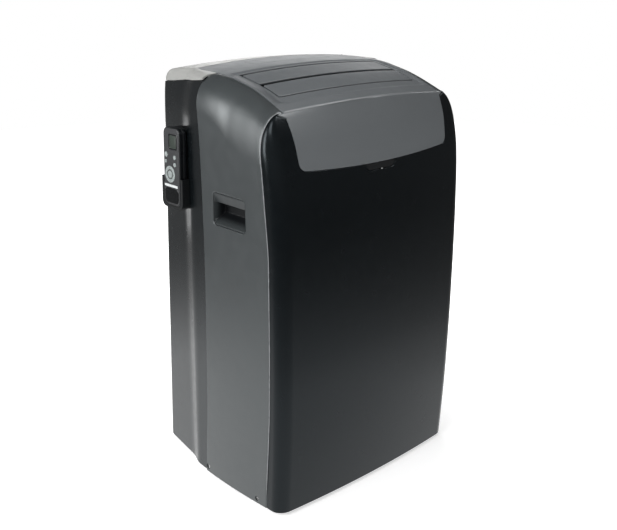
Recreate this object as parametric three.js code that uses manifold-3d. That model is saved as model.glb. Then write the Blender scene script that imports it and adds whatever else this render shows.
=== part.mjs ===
// Portable air conditioner on four swivel casters.
// Millimetres, +Z up, front faces -Y, left side is -X, the floor is z = 0.
// Thin shells are built as thick patches over one shared outer surface, so that
// neighbouring panels run on into each other across their seams.
import * as THREE from 'three';
import { mergeVertices } from 'three/addons/utils/BufferGeometryUtils.js';
import Module from 'manifold-3d';

const wasm = await Module();
wasm.setup();

// ---------------------------------------------------------------- dimensions
const WALL = 3.0;            // wall thickness of the outer panels
const SEAM = 0.5;            // gap at the panel seams
const GAP = 0.35;            // gap between touching pieces
const SKIRT_Z = 8;           // height of the skirt's lower edge over the floor
const SIDE_BULGE = 6;        // plan bulge of the side shells at the skirt
const SEAM_X = 228;          // half width at the front panel's side seam
const CREASE_X = 188;        // half length of the crease over the fascia
const CREASE_Z = 719;        // crease height at its ends
const CROWN = 9;             // crown of the deck across the width
const SHOULDER_Z = 640;
const SHOULDER_POW = 2.45;    // fullness of the shoulder's arc at the front seam
const SEAM_SWELL = 2.6;       // how far the seam stands out further below the shoulder      // start of the front shoulder arc
const CORNER_R = 25;         // plan radius of the front corners
const DECK_BACK_Y = 82;      // rear edge of the deck
const REAR_Y = 200;          // rear wall plane
const MAX_Y = 207;           // furthest point of the exhaust collar
const FLAP_HALF = 161.5;     // half length of the two outlet flaps
const FLAP_FRONT = [-117.5, -75];
const FLAP_REAR = [-69, -20];
const FLAP_PIVOT_DROP = 6.5; // pivot height under the deck surface at the flap ends
const EVAP_Z = 552;          // axis height of the upper blower
const COND_Z = 232;          // axis height of the lower blower
const COLLAR_Z = 378;        // centre height of the exhaust collar
const COLLAR_R = 75;         // outer radius of the exhaust collar (150 mm hose)
const VANE_X = [-99, -33, 33, 99];
const VANE_PIVOT_Z = 665;
const WHEEL_R = 20;          // caster wheel radius
const CASTER_TRAIL = 12;
const CASTERS = { front_left: [-165, -122], front_right: [165, -122], rear_left: [-146, 140], rear_right: [146, 140] };
const REMOTE_Y = 99;         // middle of the remote control
const REMOTE_W = 50, REMOTE_H = 140, REMOTE_T = 20;
const REMOTE_BASE = [-234, 527]; // x and z of the lower edge of its face
const REMOTE_LEAN = 1.88;    // degrees, follows the rear wall's draft

// ------------------------------------------------------------------- helpers
const rad = (d) => d * Math.PI / 180;
const lerp = (a, b, t) => a + (b - a) * t;
const clamp = (v, a, b) => Math.min(b, Math.max(a, v));

// monotone cubic through a table of [x, y]
function curve(tab) {
  const n = tab.length, d = [], m = [];
  for (let i = 0; i < n - 1; i++) d.push((tab[i + 1][1] - tab[i][1]) / (tab[i + 1][0] - tab[i][0]));
  for (let i = 0; i < n; i++) {
    if (i === 0) m.push(d[0]);
    else if (i === n - 1) m.push(d[n - 2]);
    else m.push(d[i - 1] * d[i] <= 0 ? 0 : 2 * d[i - 1] * d[i] / (d[i - 1] + d[i]));
  }
  return (v) => {
    let k = 0;
    while (k < n - 2 && v > tab[k + 1][0]) k++;
    const h = tab[k + 1][0] - tab[k][0], s = clamp((v - tab[k][0]) / h, 0, 1);
    return (2 * s ** 3 - 3 * s * s + 1) * tab[k][1] + (s ** 3 - 2 * s * s + s) * h * m[k]
      + (-2 * s ** 3 + 3 * s * s) * tab[k + 1][1] + (s ** 3 - s * s) * h * m[k + 1];
  };
}

function solid(geometry, matrix) {
  const g = geometry.clone();
  for (const a of Object.keys(g.attributes)) if (a !== 'position') g.deleteAttribute(a);
  if (matrix) g.applyMatrix4(matrix);
  const m = mergeVertices(g, 1e-4);
  return new wasm.Manifold(new wasm.Mesh({
    numProp: 3,
    vertProperties: new Float32Array(m.attributes.position.array),
    triVerts: new Uint32Array(m.index.array),
  }));
}
const at = (x, y, z) => new THREE.Matrix4().makeTranslation(x, y, z);
const box = (x0, x1, y0, y1, z0, z1) =>
  solid(new THREE.BoxGeometry(x1 - x0, y1 - y0, z1 - z0), at((x0 + x1) / 2, (y0 + y1) / 2, (z0 + z1) / 2));
// cylinder between a0 and a1 along an axis, centred on the other two coordinates
function rod(axis, r, a0, a1, c1, c2, n = 24, r2 = r) {
  const g = new THREE.CylinderGeometry(r2, r, Math.abs(a1 - a0), n);
  const m = new THREE.Matrix4();
  if (axis === 'x') { g.rotateZ(-Math.PI / 2); m.makeTranslation((a0 + a1) / 2, c1, c2); }
  else if (axis === 'z') { g.rotateX(Math.PI / 2); m.makeTranslation(c1, c2, (a0 + a1) / 2); }
  else m.makeTranslation(c1, (a0 + a1) / 2, c2);
  return solid(g, m);
}
// prism from a closed outline; plane 'xz' runs along Y, 'yz' along X, 'xy' along Z
function prism(plane, pts, d0, d1) {
  const s = new THREE.Shape(pts.map(([a, b]) => new THREE.Vector2(a, b)));
  const g = new THREE.ExtrudeGeometry(s, { depth: d1 - d0, bevelEnabled: false, steps: 1 });
  if (plane === 'xy') return solid(g, at(0, 0, d0));
  if (plane === 'xz') return solid(g, new THREE.Matrix4().set(1, 0, 0, 0, 0, 0, -1, d1, 0, 1, 0, 0, 0, 0, 0, 1));
  return solid(g, new THREE.Matrix4().set(0, 0, 1, d0, 1, 0, 0, 0, 0, 1, 0, 0, 0, 0, 0, 1));
}
function roundRect(a0, a1, b0, b1, r, n = 4) {
  const pts = [];
  for (const [ca, cb, s] of [[a1 - r, b1 - r, 0], [a0 + r, b1 - r, 90], [a0 + r, b0 + r, 180], [a1 - r, b0 + r, 270]]) {
    for (let i = 0; i <= n; i++) {
      const t = rad(s + 90 * i / n);
      pts.push([ca + r * Math.cos(t), cb + r * Math.sin(t)]);
    }
  }
  return pts;
}
// closed solid between an outer grid f(u, v) and the same grid moved in along its normal
function patch(nu, nv, f, t, { flip = false, out = 0, us = null, vs = null, inner = null } = {}) {
  const U = us || Array.from({ length: nu + 1 }, (_, i) => i / nu);
  const V = vs || Array.from({ length: nv + 1 }, (_, j) => j / nv);
  const P = U.map((u) => V.map((v) => new THREE.Vector3(...f(u, v))));
  const e = 1e-3, a = U.length, b = V.length;
  const N = U.map((u) => V.map((v) => {
    const u0 = Math.max(0, u - e), u1 = Math.min(1, u + e), v0 = Math.max(0, v - e), v1 = Math.min(1, v + e);
    const du = new THREE.Vector3(...f(u1, v)).sub(new THREE.Vector3(...f(u0, v)));
    const dv = new THREE.Vector3(...f(u, v1)).sub(new THREE.Vector3(...f(u, v0)));
    return du.cross(dv).normalize().multiplyScalar(flip ? -1 : 1);
  }));
  const pos = [];
  for (let i = 0; i < a; i++) for (let j = 0; j < b; j++) {
    const p = P[i][j].clone().addScaledVector(N[i][j], out); pos.push(p.x, p.y, p.z);
  }
  for (let i = 0; i < a; i++) for (let j = 0; j < b; j++) {
    let p = P[i][j].clone().addScaledVector(N[i][j], -t);
    if (inner) { const q = inner(i, j, a, b, P[i][j], N[i][j]); if (q) p = q; }
    pos.push(p.x, p.y, p.z);
  }
  const id = (i, j, k) => k * a * b + i * b + j, tri = [];
  const quad = (p, q, r, s) => tri.push(p, q, r, p, r, s);
  for (let i = 0; i < a - 1; i++) for (let j = 0; j < b - 1; j++) {
    quad(id(i, j, 0), id(i + 1, j, 0), id(i + 1, j + 1, 0), id(i, j + 1, 0));
    quad(id(i, j, 1), id(i, j + 1, 1), id(i + 1, j + 1, 1), id(i + 1, j, 1));
  }
  for (let i = 0; i < a - 1; i++) {
    quad(id(i, 0, 0), id(i, 0, 1), id(i + 1, 0, 1), id(i + 1, 0, 0));
    quad(id(i, b - 1, 0), id(i + 1, b - 1, 0), id(i + 1, b - 1, 1), id(i, b - 1, 1));
  }
  for (let j = 0; j < b - 1; j++) {
    quad(id(0, j, 0), id(0, j + 1, 0), id(0, j + 1, 1), id(0, j, 1));
    quad(id(a - 1, j, 0), id(a - 1, j, 1), id(a - 1, j + 1, 1), id(a - 1, j + 1, 0));
  }
  if (flip) for (let i = 0; i < tri.length; i += 3) [tri[i + 1], tri[i + 2]] = [tri[i + 2], tri[i + 1]];
  const g = new THREE.BufferGeometry();
  g.setAttribute('position', new THREE.Float32BufferAttribute(pos, 3));
  g.setIndex(tri);
  return solid(g);
}
const biggest = (m) => {
  const parts = m.decompose();
  return parts.length < 2 ? m : parts.sort((p, q) => q.volume() - p.volume())[0];
};
// a with a gap left all round b
function clear(a, b, shifts = [[0, 0, 0]]) {
  for (const d of shifts) a = a.subtract(b.translate(d));
  return biggest(a);
}
const mirrorX = (m) => m.mirror([1, 0, 0]);
const union = (list) => list.reduce((p, q) => p.add(q));

const group = new THREE.Group();
function piece(name, manifold, color, roughness, metalness = 0) {
  const m = manifold.getMesh();
  const g = new THREE.BufferGeometry();
  const n = m.numProp, vp = m.vertProperties, pos = new Float32Array(vp.length / n * 3);
  for (let i = 0; i < vp.length / n; i++) { pos[3 * i] = vp[n * i]; pos[3 * i + 1] = vp[n * i + 1]; pos[3 * i + 2] = vp[n * i + 2]; }
  g.setAttribute('position', new THREE.BufferAttribute(pos, 3));
  g.setIndex(new THREE.BufferAttribute(new Uint32Array(m.triVerts), 1));
  g.computeVertexNormals();
  const mesh = new THREE.Mesh(g, new THREE.MeshStandardMaterial({ color, roughness, metalness }));
  mesh.name = name;
  group.add(mesh);
  return mesh;
}

// -------------------------------------------------------------- outer surface
const frontY = curve([[8, -195], [46, -197.5], [138, -202.5], [198, -204.5], [300, -206.6], [400, -207], [475, -206.5],
  [548, -204], [618, -198.5], [673, -190], [719, -174]]);
const seamY = curve([[8, -150], [46, -152], [138, -158.5], [198, -162], [371, -165.6], [475, -166], [548, -162], [620, -157],
  [677, -152], [719, -157.5]]);
const ease = (t) => { const c = clamp(t, 0, 1); return c * c * (3 - 2 * c); };
const swell = (z) => SEAM_SWELL * ease((z - 480) / 150);
const halfW = (z) => z <= SHOULDER_Z ? SEAM_X + swell(z)
  : CREASE_X + (SEAM_X + SEAM_SWELL - CREASE_X) * Math.max(0, 1 - ((z - SHOULDER_Z) / (CREASE_Z - SHOULDER_Z)) ** SHOULDER_POW) ** (1 / SHOULDER_POW);
const bulge = (z) => z < 620 ? 10.5 : 10.5 + 4.5 * (z - 620) / (CREASE_Z - 620);

// front: s in [-1, 1] from the left seam round both corners to the right seam
function front(s, z, lift = 0) {
  const xw = halfW(z), ys = seamY(z) - SEAM / 2, yc = frontY(z), b = bulge(z);
  const yEdge = yc + b, r = Math.max(0.4, Math.min(CORNER_R, 0.92 * (ys - yEdge)));
  const a = Math.abs(s), sg = Math.sign(s) || 1, sF = 0.6, sA = 0.9;
  const xe = xw - r;
  const k = b * (xe / xw) ** 2, slope = 2 * b * xe / (xw * xw), th0 = Math.atan(slope);
  let x, y;
  if (a <= sF) { x = xe * a / sF; y = yc + b * (x / xw) ** 2; }
  else if (a <= sA) {
    const t = (a - sF) / (sA - sF), th = lerp(th0, Math.PI / 2, t);
    x = xe + r * (Math.sin(th) - Math.sin(th0)) / (1 - Math.sin(th0));
    y = yc + k + r * (Math.cos(th0) - Math.cos(th));
  } else {
    const t = (a - sA) / (1 - sA);
    x = xw; y = lerp(yc + k + r * Math.cos(th0), ys, t);
  }
  const w = clamp((z - 629) / (CREASE_Z - 629), 0, 1);
  return [sg * x, y, z + CROWN * (1 - Math.min(1, (x / CREASE_X) ** 2)) * w * w + lift];
}

const deckH = curve([[-159, 719], [-132, 731], [-107, 741], [-79, 750], [-48, 757], [-20, 762.5], [6, 765], [40, 766.7], [82, 767]]);
// deck: nominal y is the depth at its side edges; the lines bow forward across the middle
function deckPoint(x, yn) {
  const v = clamp((yn + 159) / (DECK_BACK_Y + 159), 0, 1), q = 1 - Math.min(1, (x / CREASE_X) ** 2);
  return [x, yn - 15 * q * (1 - v) ** 1.3, deckH(yn) + CROWN * (1 - (x / CREASE_X) ** 2)];
}
const deckEdge = (yn) => lerp(CREASE_X, 184, clamp((yn + 159) / 165, 0, 1));

// side shell: s runs up the wall and over the shoulder, v from the front seam to the rear edge
const rearEdge = curve([[8, 26], [72, 22], [138, 17], [198, 14], [300, 11], [372, 9], [460, 8], [529, 8.5], [584, 9.5], [655, 12], [700, 15]]);
const shoulderB = curve([[-159, 79], [-130, 88], [-95, 92], [-70, 90], [-38, 70], [0, 60], [82, 60]]);
const shoulderPow = curve([[-159, SHOULDER_POW], [-130, 2.2], [-90, 2.05], [0, 2], [82, 2]]);
const sideX = (y, z) => {
  const t = clamp((y + 165) / 215, 0, 1), amp = lerp(SIDE_BULGE, 1.6, clamp((z - 8) / 690, 0, 1));
  return SEAM_X + swell(z) * (1 - ease((y + 160) / 130)) + amp * Math.sin(Math.PI * Math.min(1, t / 0.62) / 2) * (t < 0.62 ? 1 : 1 - 0.45 * ((t - 0.62) / 0.38) ** 2);
};
function side(s, v) {
  const S0 = 0.72;
  let y0, y1;
  if (s <= S0) {
    const t = s / S0;
    y0 = seamY(lerp(SKIRT_Z, SHOULDER_Z, t)); y1 = rearEdge(lerp(SKIRT_Z, 705, t));
  } else {
    const th = (s - S0) / (1 - S0);
    y0 = seamY(lerp(SHOULDER_Z, CREASE_Z, Math.sin(th * Math.PI / 2) ** (2 / SHOULDER_POW)));
    y1 = 15 + 9 * Math.sin(Math.PI * Math.min(1, th * 1.15) * 0.6) - 12.5 * th * th;
  }
  const y = lerp(y0 + SEAM / 2, y1, v);
  const top = deckH(y), b = shoulderB(y), zs = top - b;
  const xw = sideX(y, Math.min(zs, 700));
  if (s <= S0) { const z = lerp(SKIRT_Z, zs, s / S0); return [-sideX(y, z), y, z]; }
  const th = (s - S0) / (1 - S0) * Math.PI / 2, xe = deckEdge(y) + SEAM / 2, a = xw - xe;
  const e = 2 / shoulderPow(y);
  return [-(xe + a * Math.max(0, Math.cos(th)) ** e), y, zs + b * Math.sin(th) ** e];
}

// ---------------------------------------------------------------- front panel
const zRows = [SKIRT_Z, 110, 200, 300, 400, 480, 550, 598, SHOULDER_Z, 668, 687, 700, 710, 716, CREASE_Z];
const sCols = [];
for (const a of [-1, -0.9, -0.8, -0.7, -0.6, -0.4, -0.2]) sCols.push(a);
sCols.push(0); for (let i = 6; i >= 0; i--) sCols.push(-sCols[i]);
const zNorm = zRows.map((z) => (z - SKIRT_Z) / (CREASE_Z - SKIRT_Z));
const creaseDir = new THREE.Vector3(0, 0.62, -0.78).normalize();
const frontFull = patch(0, 0, (u, v) => front(2 * u - 1, lerp(SKIRT_Z, CREASE_Z, v)), WALL, {
  us: sCols.map((s) => (s + 1) / 2), vs: zNorm,
  inner: (i, j, a, b, P) => j === b - 1 ? P.clone().addScaledVector(creaseDir, WALL)
    .add(new THREE.Vector3(-Math.sign(P.x) * Math.max(0, Math.abs(P.x) - CREASE_X + 6) * 0.35, 0, 0)) : null,
});
const fasciaOutline = (g) => {
  const pts = [[-188 - g, 745], [-181 - g - 15 * 0 - 0.6, 645]];
  // lower corners and the bowed lower edge
  const zb = (x) => 621 + 8 * (x / 181) ** 2 - g;
  for (let i = 0; i <= 4; i++) { const t = rad(180 + 90 * i / 4); pts.push([-166 - g + 15 * Math.cos(t), zb(166) + 15 + 15 * Math.sin(t)]); }
  for (const x of [-130, -90, -45, 0, 45, 90, 130]) pts.push([x, zb(x)]);
  for (let i = 0; i <= 4; i++) { const t = rad(270 + 90 * i / 4); pts.push([166 + g + 15 * Math.cos(t), zb(166) + 15 + 15 * Math.sin(t)]); }
  pts.push([181 + g + 0.6, 645], [188 + g, 745]);
  return pts;
};
const fasciaCut = prism('xz', fasciaOutline(SEAM), -260, -110);
const fasciaKeep = prism('xz', fasciaOutline(0), -260, -110);
const windowOutline = (g) => [[-36 - g, 640], [-36 - g, 619], [-30 - g, 611 - g], [-25, 608.5 - g], [25, 608.5 - g], [30 + g, 611 - g], [36 + g, 619], [36 + g, 640]];
const windowCut = prism('xz', windowOutline(GAP), -260, -110);
const fasciaPiece = biggest(frontFull.intersect(fasciaKeep));
const frontPanel = biggest(frontFull.subtract(fasciaCut).subtract(windowCut));
const windowPiece = biggest(frontFull.translate([0, 1, 0]).intersect(prism('xz', windowOutline(0), -260, -110)).subtract(fasciaCut.translate([0, 0, -0.2])));

// ---------------------------------------------------------------- side shells
const sRows = [0, 0.12, 0.24, 0.36, 0.48, 0.6, 0.67, 0.72, 0.765, 0.81, 0.855, 0.9, 0.95, 1];
const vCols = [0, 0.25, 0.5, 0.75, 1];
let leftShell = patch(0, 0, (u, v) => side(u, v), WALL, { us: sRows, vs: vCols });
leftShell = clear(leftShell, frontFull, [[0, SEAM, 0], [-SEAM, 0, 0]]);
// grip recess and the two screw holes at the skirt
const GRIP = [-110, -22, 517, 574];
const SCREWS = [[-125, 17.5], [20, 20]];
leftShell = leftShell.subtract(prism('yz', roundRect(...GRIP, 8), -260, -200));
for (const [y, z] of SCREWS) leftShell = leftShell.subtract(rod('x', 4.7, -250, -210, y, z, 12));
leftShell = biggest(leftShell);

// -------------------------------------------------------------------- deck
const ynRows = [-159 + SEAM, -140, -119, -95, -71, -45, -16, 24, DECK_BACK_Y];
const uCols = [-1, -0.87, -0.6, -0.3, 0, 0.3, 0.6, 0.87, 1];
const yv = (yn) => (yn + 159 - SEAM) / (DECK_BACK_Y + 159 - SEAM);
let deck = patch(0, 0, (u, v) => {
  const yn = lerp(-159 + SEAM, DECK_BACK_Y, v), xe = deckEdge(yn) - SEAM / 2;
  return deckPoint((2 * u - 1) * xe, yn);
}, WALL, { us: uCols.map((s) => (s + 1) / 2), vs: ynRows.map(yv) });
deck = clear(deck, frontFull, [[0, SEAM, 0], [0, 0, SEAM]]);
const opening = (x, y0, y1) => {
  const pts = [];
  for (let i = 0; i <= 8; i++) { const q = lerp(-x, x, i / 8), p = deckPoint(q, y0); pts.push([p[0], p[1]]); }
  for (let i = 0; i <= 8; i++) { const q = lerp(x, -x, i / 8), p = deckPoint(q, y1); pts.push([p[0], p[1]]); }
  return pts;
};
deck = deck.subtract(prism('xy', opening(164, -119, -16), 700, 800));
// seat for the control panel
const PANEL = [-92, 92, 24, 62];
deck = deck.subtract(prism('xy', roundRect(PANEL[0], PANEL[1], PANEL[2], PANEL[3], 8), 740, 800));
deck = clear(deck, leftShell, [[GAP, 0, 0]]); deck = clear(deck, mirrorX(leftShell), [[-GAP, 0, 0]]);

function flap([y0, y1], pivotY) {
  const base = patch(8, 2, (u, v) => deckPoint(lerp(-FLAP_HALF, FLAP_HALF, u), lerp(y0, y1, v)), WALL);
  const pz = deckH(pivotY) - FLAP_PIVOT_DROP;
  let f = base;
  for (const s of [-1, 1]) {
    const zt = deckPoint(FLAP_HALF, pivotY)[2];
    f = f.add(box(Math.min(s * 157, s * 161), Math.max(s * 157, s * 161), pivotY - 4.5, pivotY + 4.5, pz - 4, zt - 1.2));
    f = f.add(rod('x', 2, s > 0 ? 158 : -167.2, s > 0 ? 167.2 : -158, pivotY, pz, 8));
  }
  return { m: biggest(f), pz };
}
const flapF = flap(FLAP_FRONT, -96), flapR = flap(FLAP_REAR, -44);

// outlet duct under the flaps, open at the top, with the blower's throat in its floor
let duct = prism('yz', [[-136, 640], [-10, 640], [-10, 756.5], [-48, 751], [-79, 743.5], [-107, 735], [-136, 723]], -168, 168)
  .subtract(box(-165, 165, -133, -13, 643, 800))
  .subtract(box(-72, 72, -115, -33, 630, 650));
for (const s of [-1, 1]) {
  duct = duct.subtract(rod('x', 2.5, s > 0 ? 160 : -170, s > 0 ? 170 : -160, -96, flapF.pz, 12));
  duct = duct.subtract(rod('x', 2.5, s > 0 ? 160 : -170, s > 0 ? 170 : -160, -44, flapR.pz, 12));
}
for (const x of VANE_X) duct = duct.subtract(rod('y', 2.5, -140, -5, x, VANE_PIVOT_Z, 12));
duct = biggest(duct);

// --------------------------------------------------------------- rear housing
// left half of the plan at a height: shell edge, flare start, flare end, rear corner
function rearPlan(z) {
  const t = clamp((z - 8) / 692, 0, 1), q = z > 690 ? 12 * ((z - 690) / 60) ** 2 : 0;
  return [[-lerp(230.2, 226.2, t) + 0.2 + q, rearEdge(Math.min(z, 700)) + 1.2], [-lerp(227.5, 215, t) + q, lerp(58, 57, t)],
    [-lerp(217, 197, t) + q * 0.9, lerp(92, 108, t)], [-lerp(199, 175, t) + q * 0.4, REAR_Y]];
}
const REAR_R = 16;
function rearLoop(s, z) { // s in [0, 1] from the left shell edge to the middle of the rear wall
  const [A, B, C, D] = rearPlan(z);
  const seg = [0, 0.18, 0.4, 0.72, 0.86, 1];
  if (s <= seg[1]) { const t = s / seg[1]; return [lerp(A[0], B[0], t), lerp(A[1], B[1], t)]; }
  if (s <= seg[2]) { const t = (s - seg[1]) / (seg[2] - seg[1]); return [lerp(B[0], C[0], t), lerp(B[1], C[1], t)]; }
  const L = Math.hypot(D[0] - C[0], D[1] - C[1]), e = [(D[0] - C[0]) / L, (D[1] - C[1]) / L];
  const E = [D[0] - e[0] * REAR_R, D[1] - e[1] * REAR_R];
  if (s <= seg[3]) { const t = (s - seg[2]) / (seg[3] - seg[2]); return [lerp(C[0], E[0], t), lerp(C[1], E[1], t)]; }
  const F = [D[0] + REAR_R, REAR_Y];
  if (s <= seg[4]) { // rounded rear corner as a quadratic
    const t = (s - seg[3]) / (seg[4] - seg[3]);
    return [(1 - t) ** 2 * E[0] + 2 * t * (1 - t) * D[0] + t * t * F[0], (1 - t) ** 2 * E[1] + 2 * t * (1 - t) * D[1] + t * t * F[1]];
  }
  return [lerp(F[0], 0, (s - seg[4]) / (1 - seg[4])), REAR_Y];
}
const capEdge = curve([[10, 757], [50, 752], [100, 747], [160, 739], [200, 735]]);
const loopS = [0, 0.18, 0.4, 0.56, 0.72, 0.79, 0.86, 1];
const fullS = loopS.concat(loopS.slice(0, -1).reverse().map((s) => 2 - s)).map((s) => s / 2);
const loopFull = (u, z) => { const s = 2 * u; const p = rearLoop(s <= 1 ? s : 2 - s, z); return [s <= 1 ? p[0] : -p[0], p[1]]; };
const rearZ = [0, 0.33, 0.66, 0.93, 1];
const rearSurface = (u, v) => {
  const p0 = loopFull(u, 740), top = capEdge(p0[1]) - SEAM / 2;
  const z = lerp(SKIRT_Z, top, v), p = loopFull(u, z);
  return [p[0], p[1], z];
};
let rear = patch(0, 0, rearSurface, WALL, { us: fullS, vs: rearZ, flip: true });
if (rear.volume() < 0) throw new Error('rear housing inside out');
const rearBulk = patch(0, 0, rearSurface, 30, { us: fullS, vs: rearZ, flip: true });
const UP = [-140, 140, 490, 690], LOW = [-140, 140, 62, 292];
rear = rear.subtract(prism('xz', roundRect(...UP, 10, 3), 190, 210)).subtract(prism('xz', roundRect(...LOW, 10, 3), 190, 210));
rear = rear.subtract(rod('y', COLLAR_R + GAP + 0.2, 180, 215, 0, COLLAR_Z, 28));
rear = rear.subtract(rod('y', 7.2, 180, 215, -60, 36, 12)).subtract(rod('y', 8.6, 180, 215, 150, 60, 12));
rear = clear(biggest(rear), leftShell, [[0, 0, 0], [0, GAP, 0], [GAP, 0, 0]]); rear = clear(rear, mirrorX(leftShell), [[0, 0, 0], [0, GAP, 0], [-GAP, 0, 0]]);

// rounded cap between the deck and the rear housing
const capLoop = (u) => loopFull(u, 745);
function capSurface(u, v) {
  const [x0, y0] = capLoop(u), ze = capEdge(y0) + SEAM / 2;
  // inner boundary: the deck's side edge, then its rear edge
  const sx = Math.sign(x0) || 1;
  let xi, yi;
  if (y0 < 150) { xi = sx * (184 - Math.max(0, y0 - 60) * 0.35); yi = Math.min(y0, DECK_BACK_Y - 6); }
  else { xi = x0 * 0.82; yi = DECK_BACK_Y + 1; }
  if (Math.abs(xi) < 183.5 && yi < DECK_BACK_Y + 1 && y0 > 80) yi = DECK_BACK_Y + 1;
  const q = v * Math.PI / 2, r = clamp(Math.hypot(xi - x0, yi - y0) * 0.98, 1, 24), L = Math.max(1e-6, Math.hypot(xi - x0, yi - y0));
  const dx = (xi - x0) / L, dy = (yi - y0) / L;
  const topZ = (x, y) => (y > DECK_BACK_Y ? lerp(767, 752, ((y - DECK_BACK_Y) / 118) ** 1.5) : deckH(Math.min(y, 82))) + CROWN * (1 - (x / CREASE_X) ** 2);
  const vr = 0.6;
  if (v <= vr) {
    const a = (v / vr) * Math.PI / 2, d = r * (1 - Math.cos(a));
    const x = x0 + dx * d, y = y0 + dy * d;
    const ex = x0 + dx * r, ey = y0 + dy * r;
    return [x, y, lerp(ze, Math.max(ze + 2, topZ(ex, ey)), Math.sin(a))];
  }
  const d = lerp(r, L, (v - vr) / (1 - vr)), x = x0 + dx * d, y = y0 + dy * d;
  return [x, y, Math.max(ze + 2, topZ(x, y))];
}
let cap = patch(0, 0, capSurface, WALL, { us: fullS, vs: [0, 0.2, 0.4, 0.6, 1], flip: true });
cap = clear(cap, deck, [[0, SEAM, 0], [-GAP, 0, 0], [GAP, 0, 0]]); cap = clear(cap, leftShell, [[0, SEAM, 0]]); cap = clear(cap, mirrorX(leftShell), [[0, SEAM, 0]]); cap = clear(cap, rear, [[0, 0, GAP], [0, 0, 0]]);
cap = biggest(cap);

// ------------------------------------------------------------------ grip cups
let cup = box(-224.6, -192, GRIP[0] - 5, GRIP[1] + 5, GRIP[2] - 5, GRIP[3] + 5)
  .subtract(box(-230, -195, GRIP[0] - 1, GRIP[1] + 1, GRIP[2] - 1, GRIP[3] + 1));
// sloping floor and roof lip inside the pocket
cup = cup.add(prism('yz', [[0, 0], [1, 0], [1, 1]], 0, 1).scale([0.01, 0.01, 0.01]).translate([-193, -60, 545]));
cup = cup.add(prism('xz', [[-222, 575.5], [-196, 575.5], [-196, 556]], GRIP[0] - 2, GRIP[1] + 2));
cup = biggest(cup);

// ------------------------------------------------------------------- base pan
const wells = Object.values(CASTERS);
let base = prism('xy', [[-221, -150], [-205, -177], [205, -177], [221, -150], [221, 20], [211, 62], [205, 100], [192, 192], [-192, 192], [-205, 100], [-211, 62], [-221, 20]], 9, 36);
base = base.subtract(prism('xy', [[-218, -149], [-203.5, -174], [203.5, -174], [218, -149], [218, 19.5], [208, 61], [202, 99], [189.4, 189], [-189.4, 189], [-202, 99], [-208, 61], [-218, 19.5]], 12, 60));
for (const [x, y] of wells) base = base.add(rod('z', 38.5, 9, 56, x, y, 16));
for (const [x, y] of wells) base = base.subtract(rod('z', 36, 0, 53.2, x, y, 16)).subtract(rod('z', 5, 50, 60, x, y, 8));
for (const [y, z] of SCREWS) for (const s of [-1, 1]) base = base.subtract(rod('x', 2.3, s > 0 ? 210 : -225, s > 0 ? 225 : -210, y, z, 8));
base = base.subtract(rod('y', 6.8, 180, 200, -60, 36, 12));
base = biggest(base);

// -------------------------------------------------------------------- casters
function caster([x, y]) {
  // wheel trails behind the swivel
  const wy = y + CASTER_TRAIL, wz = WHEEL_R;
  let fork = rod('z', 16, 45.5, 49, x, y, 14).add(rod('z', 4.4, 47, 58, x, y, 8)); // plate and stem
  for (const s of [-1, 1]) {
    fork = fork.add(prism('yz', [[y - 12, 47], [y + 14, 47], [wy + 7, wz - 3], [wy, wz - 7], [wy - 7, wz - 3]], x + (s > 0 ? 10 : -12.5), x + (s > 0 ? 12.5 : -10)));
  }
  fork = fork.add(rod('x', 2.6, x - 13.5, x + 13.5, wy, wz, 8));
  // an odd number of flats, one of them down, so the wheel rests on a flat
  const wheel = rod('x', WHEEL_R / Math.cos(Math.PI / 27), x - 9, x + 9, wy, wz, 27).subtract(rod('x', 3.2, x - 12, x + 12, wy, wz, 8));
  return [fork, wheel];
}

// ------------------------------------------------------------- blower wheels
function blowerWheel(z, r, yHub, yRim, n) {
  const dir = Math.sign(yRim - yHub);
  let w = rod('y', r, Math.min(yHub, yHub + 2.5 * dir), Math.max(yHub, yHub + 2.5 * dir), 0, z, 20);
  w = w.add(rod('y', r, Math.min(yRim, yRim - 3 * dir), Math.max(yRim, yRim - 3 * dir), 0, z, 20)
    .subtract(rod('y', r - 13, Math.min(yHub, yRim) - 2, Math.max(yHub, yRim) + 2, 0, z, 20)));
  const parts = [w];
  for (let i = 0; i < n; i++) {
    const g = new THREE.BoxGeometry(11, Math.abs(yRim - yHub) - 1, 1.6);
    const m = new THREE.Matrix4().makeRotationY(2 * Math.PI * i / n)
      .multiply(at(r - 7, 0, 0)).multiply(new THREE.Matrix4().makeRotationY(rad(-28)));
    parts.push(solid(g, at(0, (yHub + yRim) / 2, z).multiply(m)));
  }
  let all = union(parts);
  all = all.add(rod('y', 10, Math.min(yHub, yHub + 26 * dir), Math.max(yHub, yHub + 26 * dir), 0, z, 12));
  all = all.subtract(rod('y', 4.4, Math.min(yHub, yRim) - 5, Math.max(yHub, yRim) + 5, 0, z, 12));
  return biggest(all);
}
function motor(z, r, y0, y1, shaftEnd) {
  return rod('y', r, y0, y1, 0, z, 18)
    .add(rod('y', r * 0.62, y1 - 1, y1 + 3.2, 0, z, 14))
    .add(rod('y', 4, y1, shaftEnd, 0, z, 8))
    .add(box(-r - 8, r + 8, y1 - 14, y1 - 10, z - 9, z + 9));
}

// upper (cold air) scroll: round body with a throat up to the duct
const evapScroll = biggest(rod('y', 77, -118, -30, 0, EVAP_Z, 24).add(box(-75, 75, -118, -30, EVAP_Z, 639.6))
  .subtract(rod('y', 74.5, -115.5, -32.5, 0, EVAP_Z, 24)).subtract(box(-72, 72, -115.5, -32.5, EVAP_Z, 660))
  .subtract(rod('y', 56, -40, -20, 0, EVAP_Z, 18)).subtract(rod('y', 28.5, -130, -110, 0, EVAP_Z, 24)));
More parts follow.
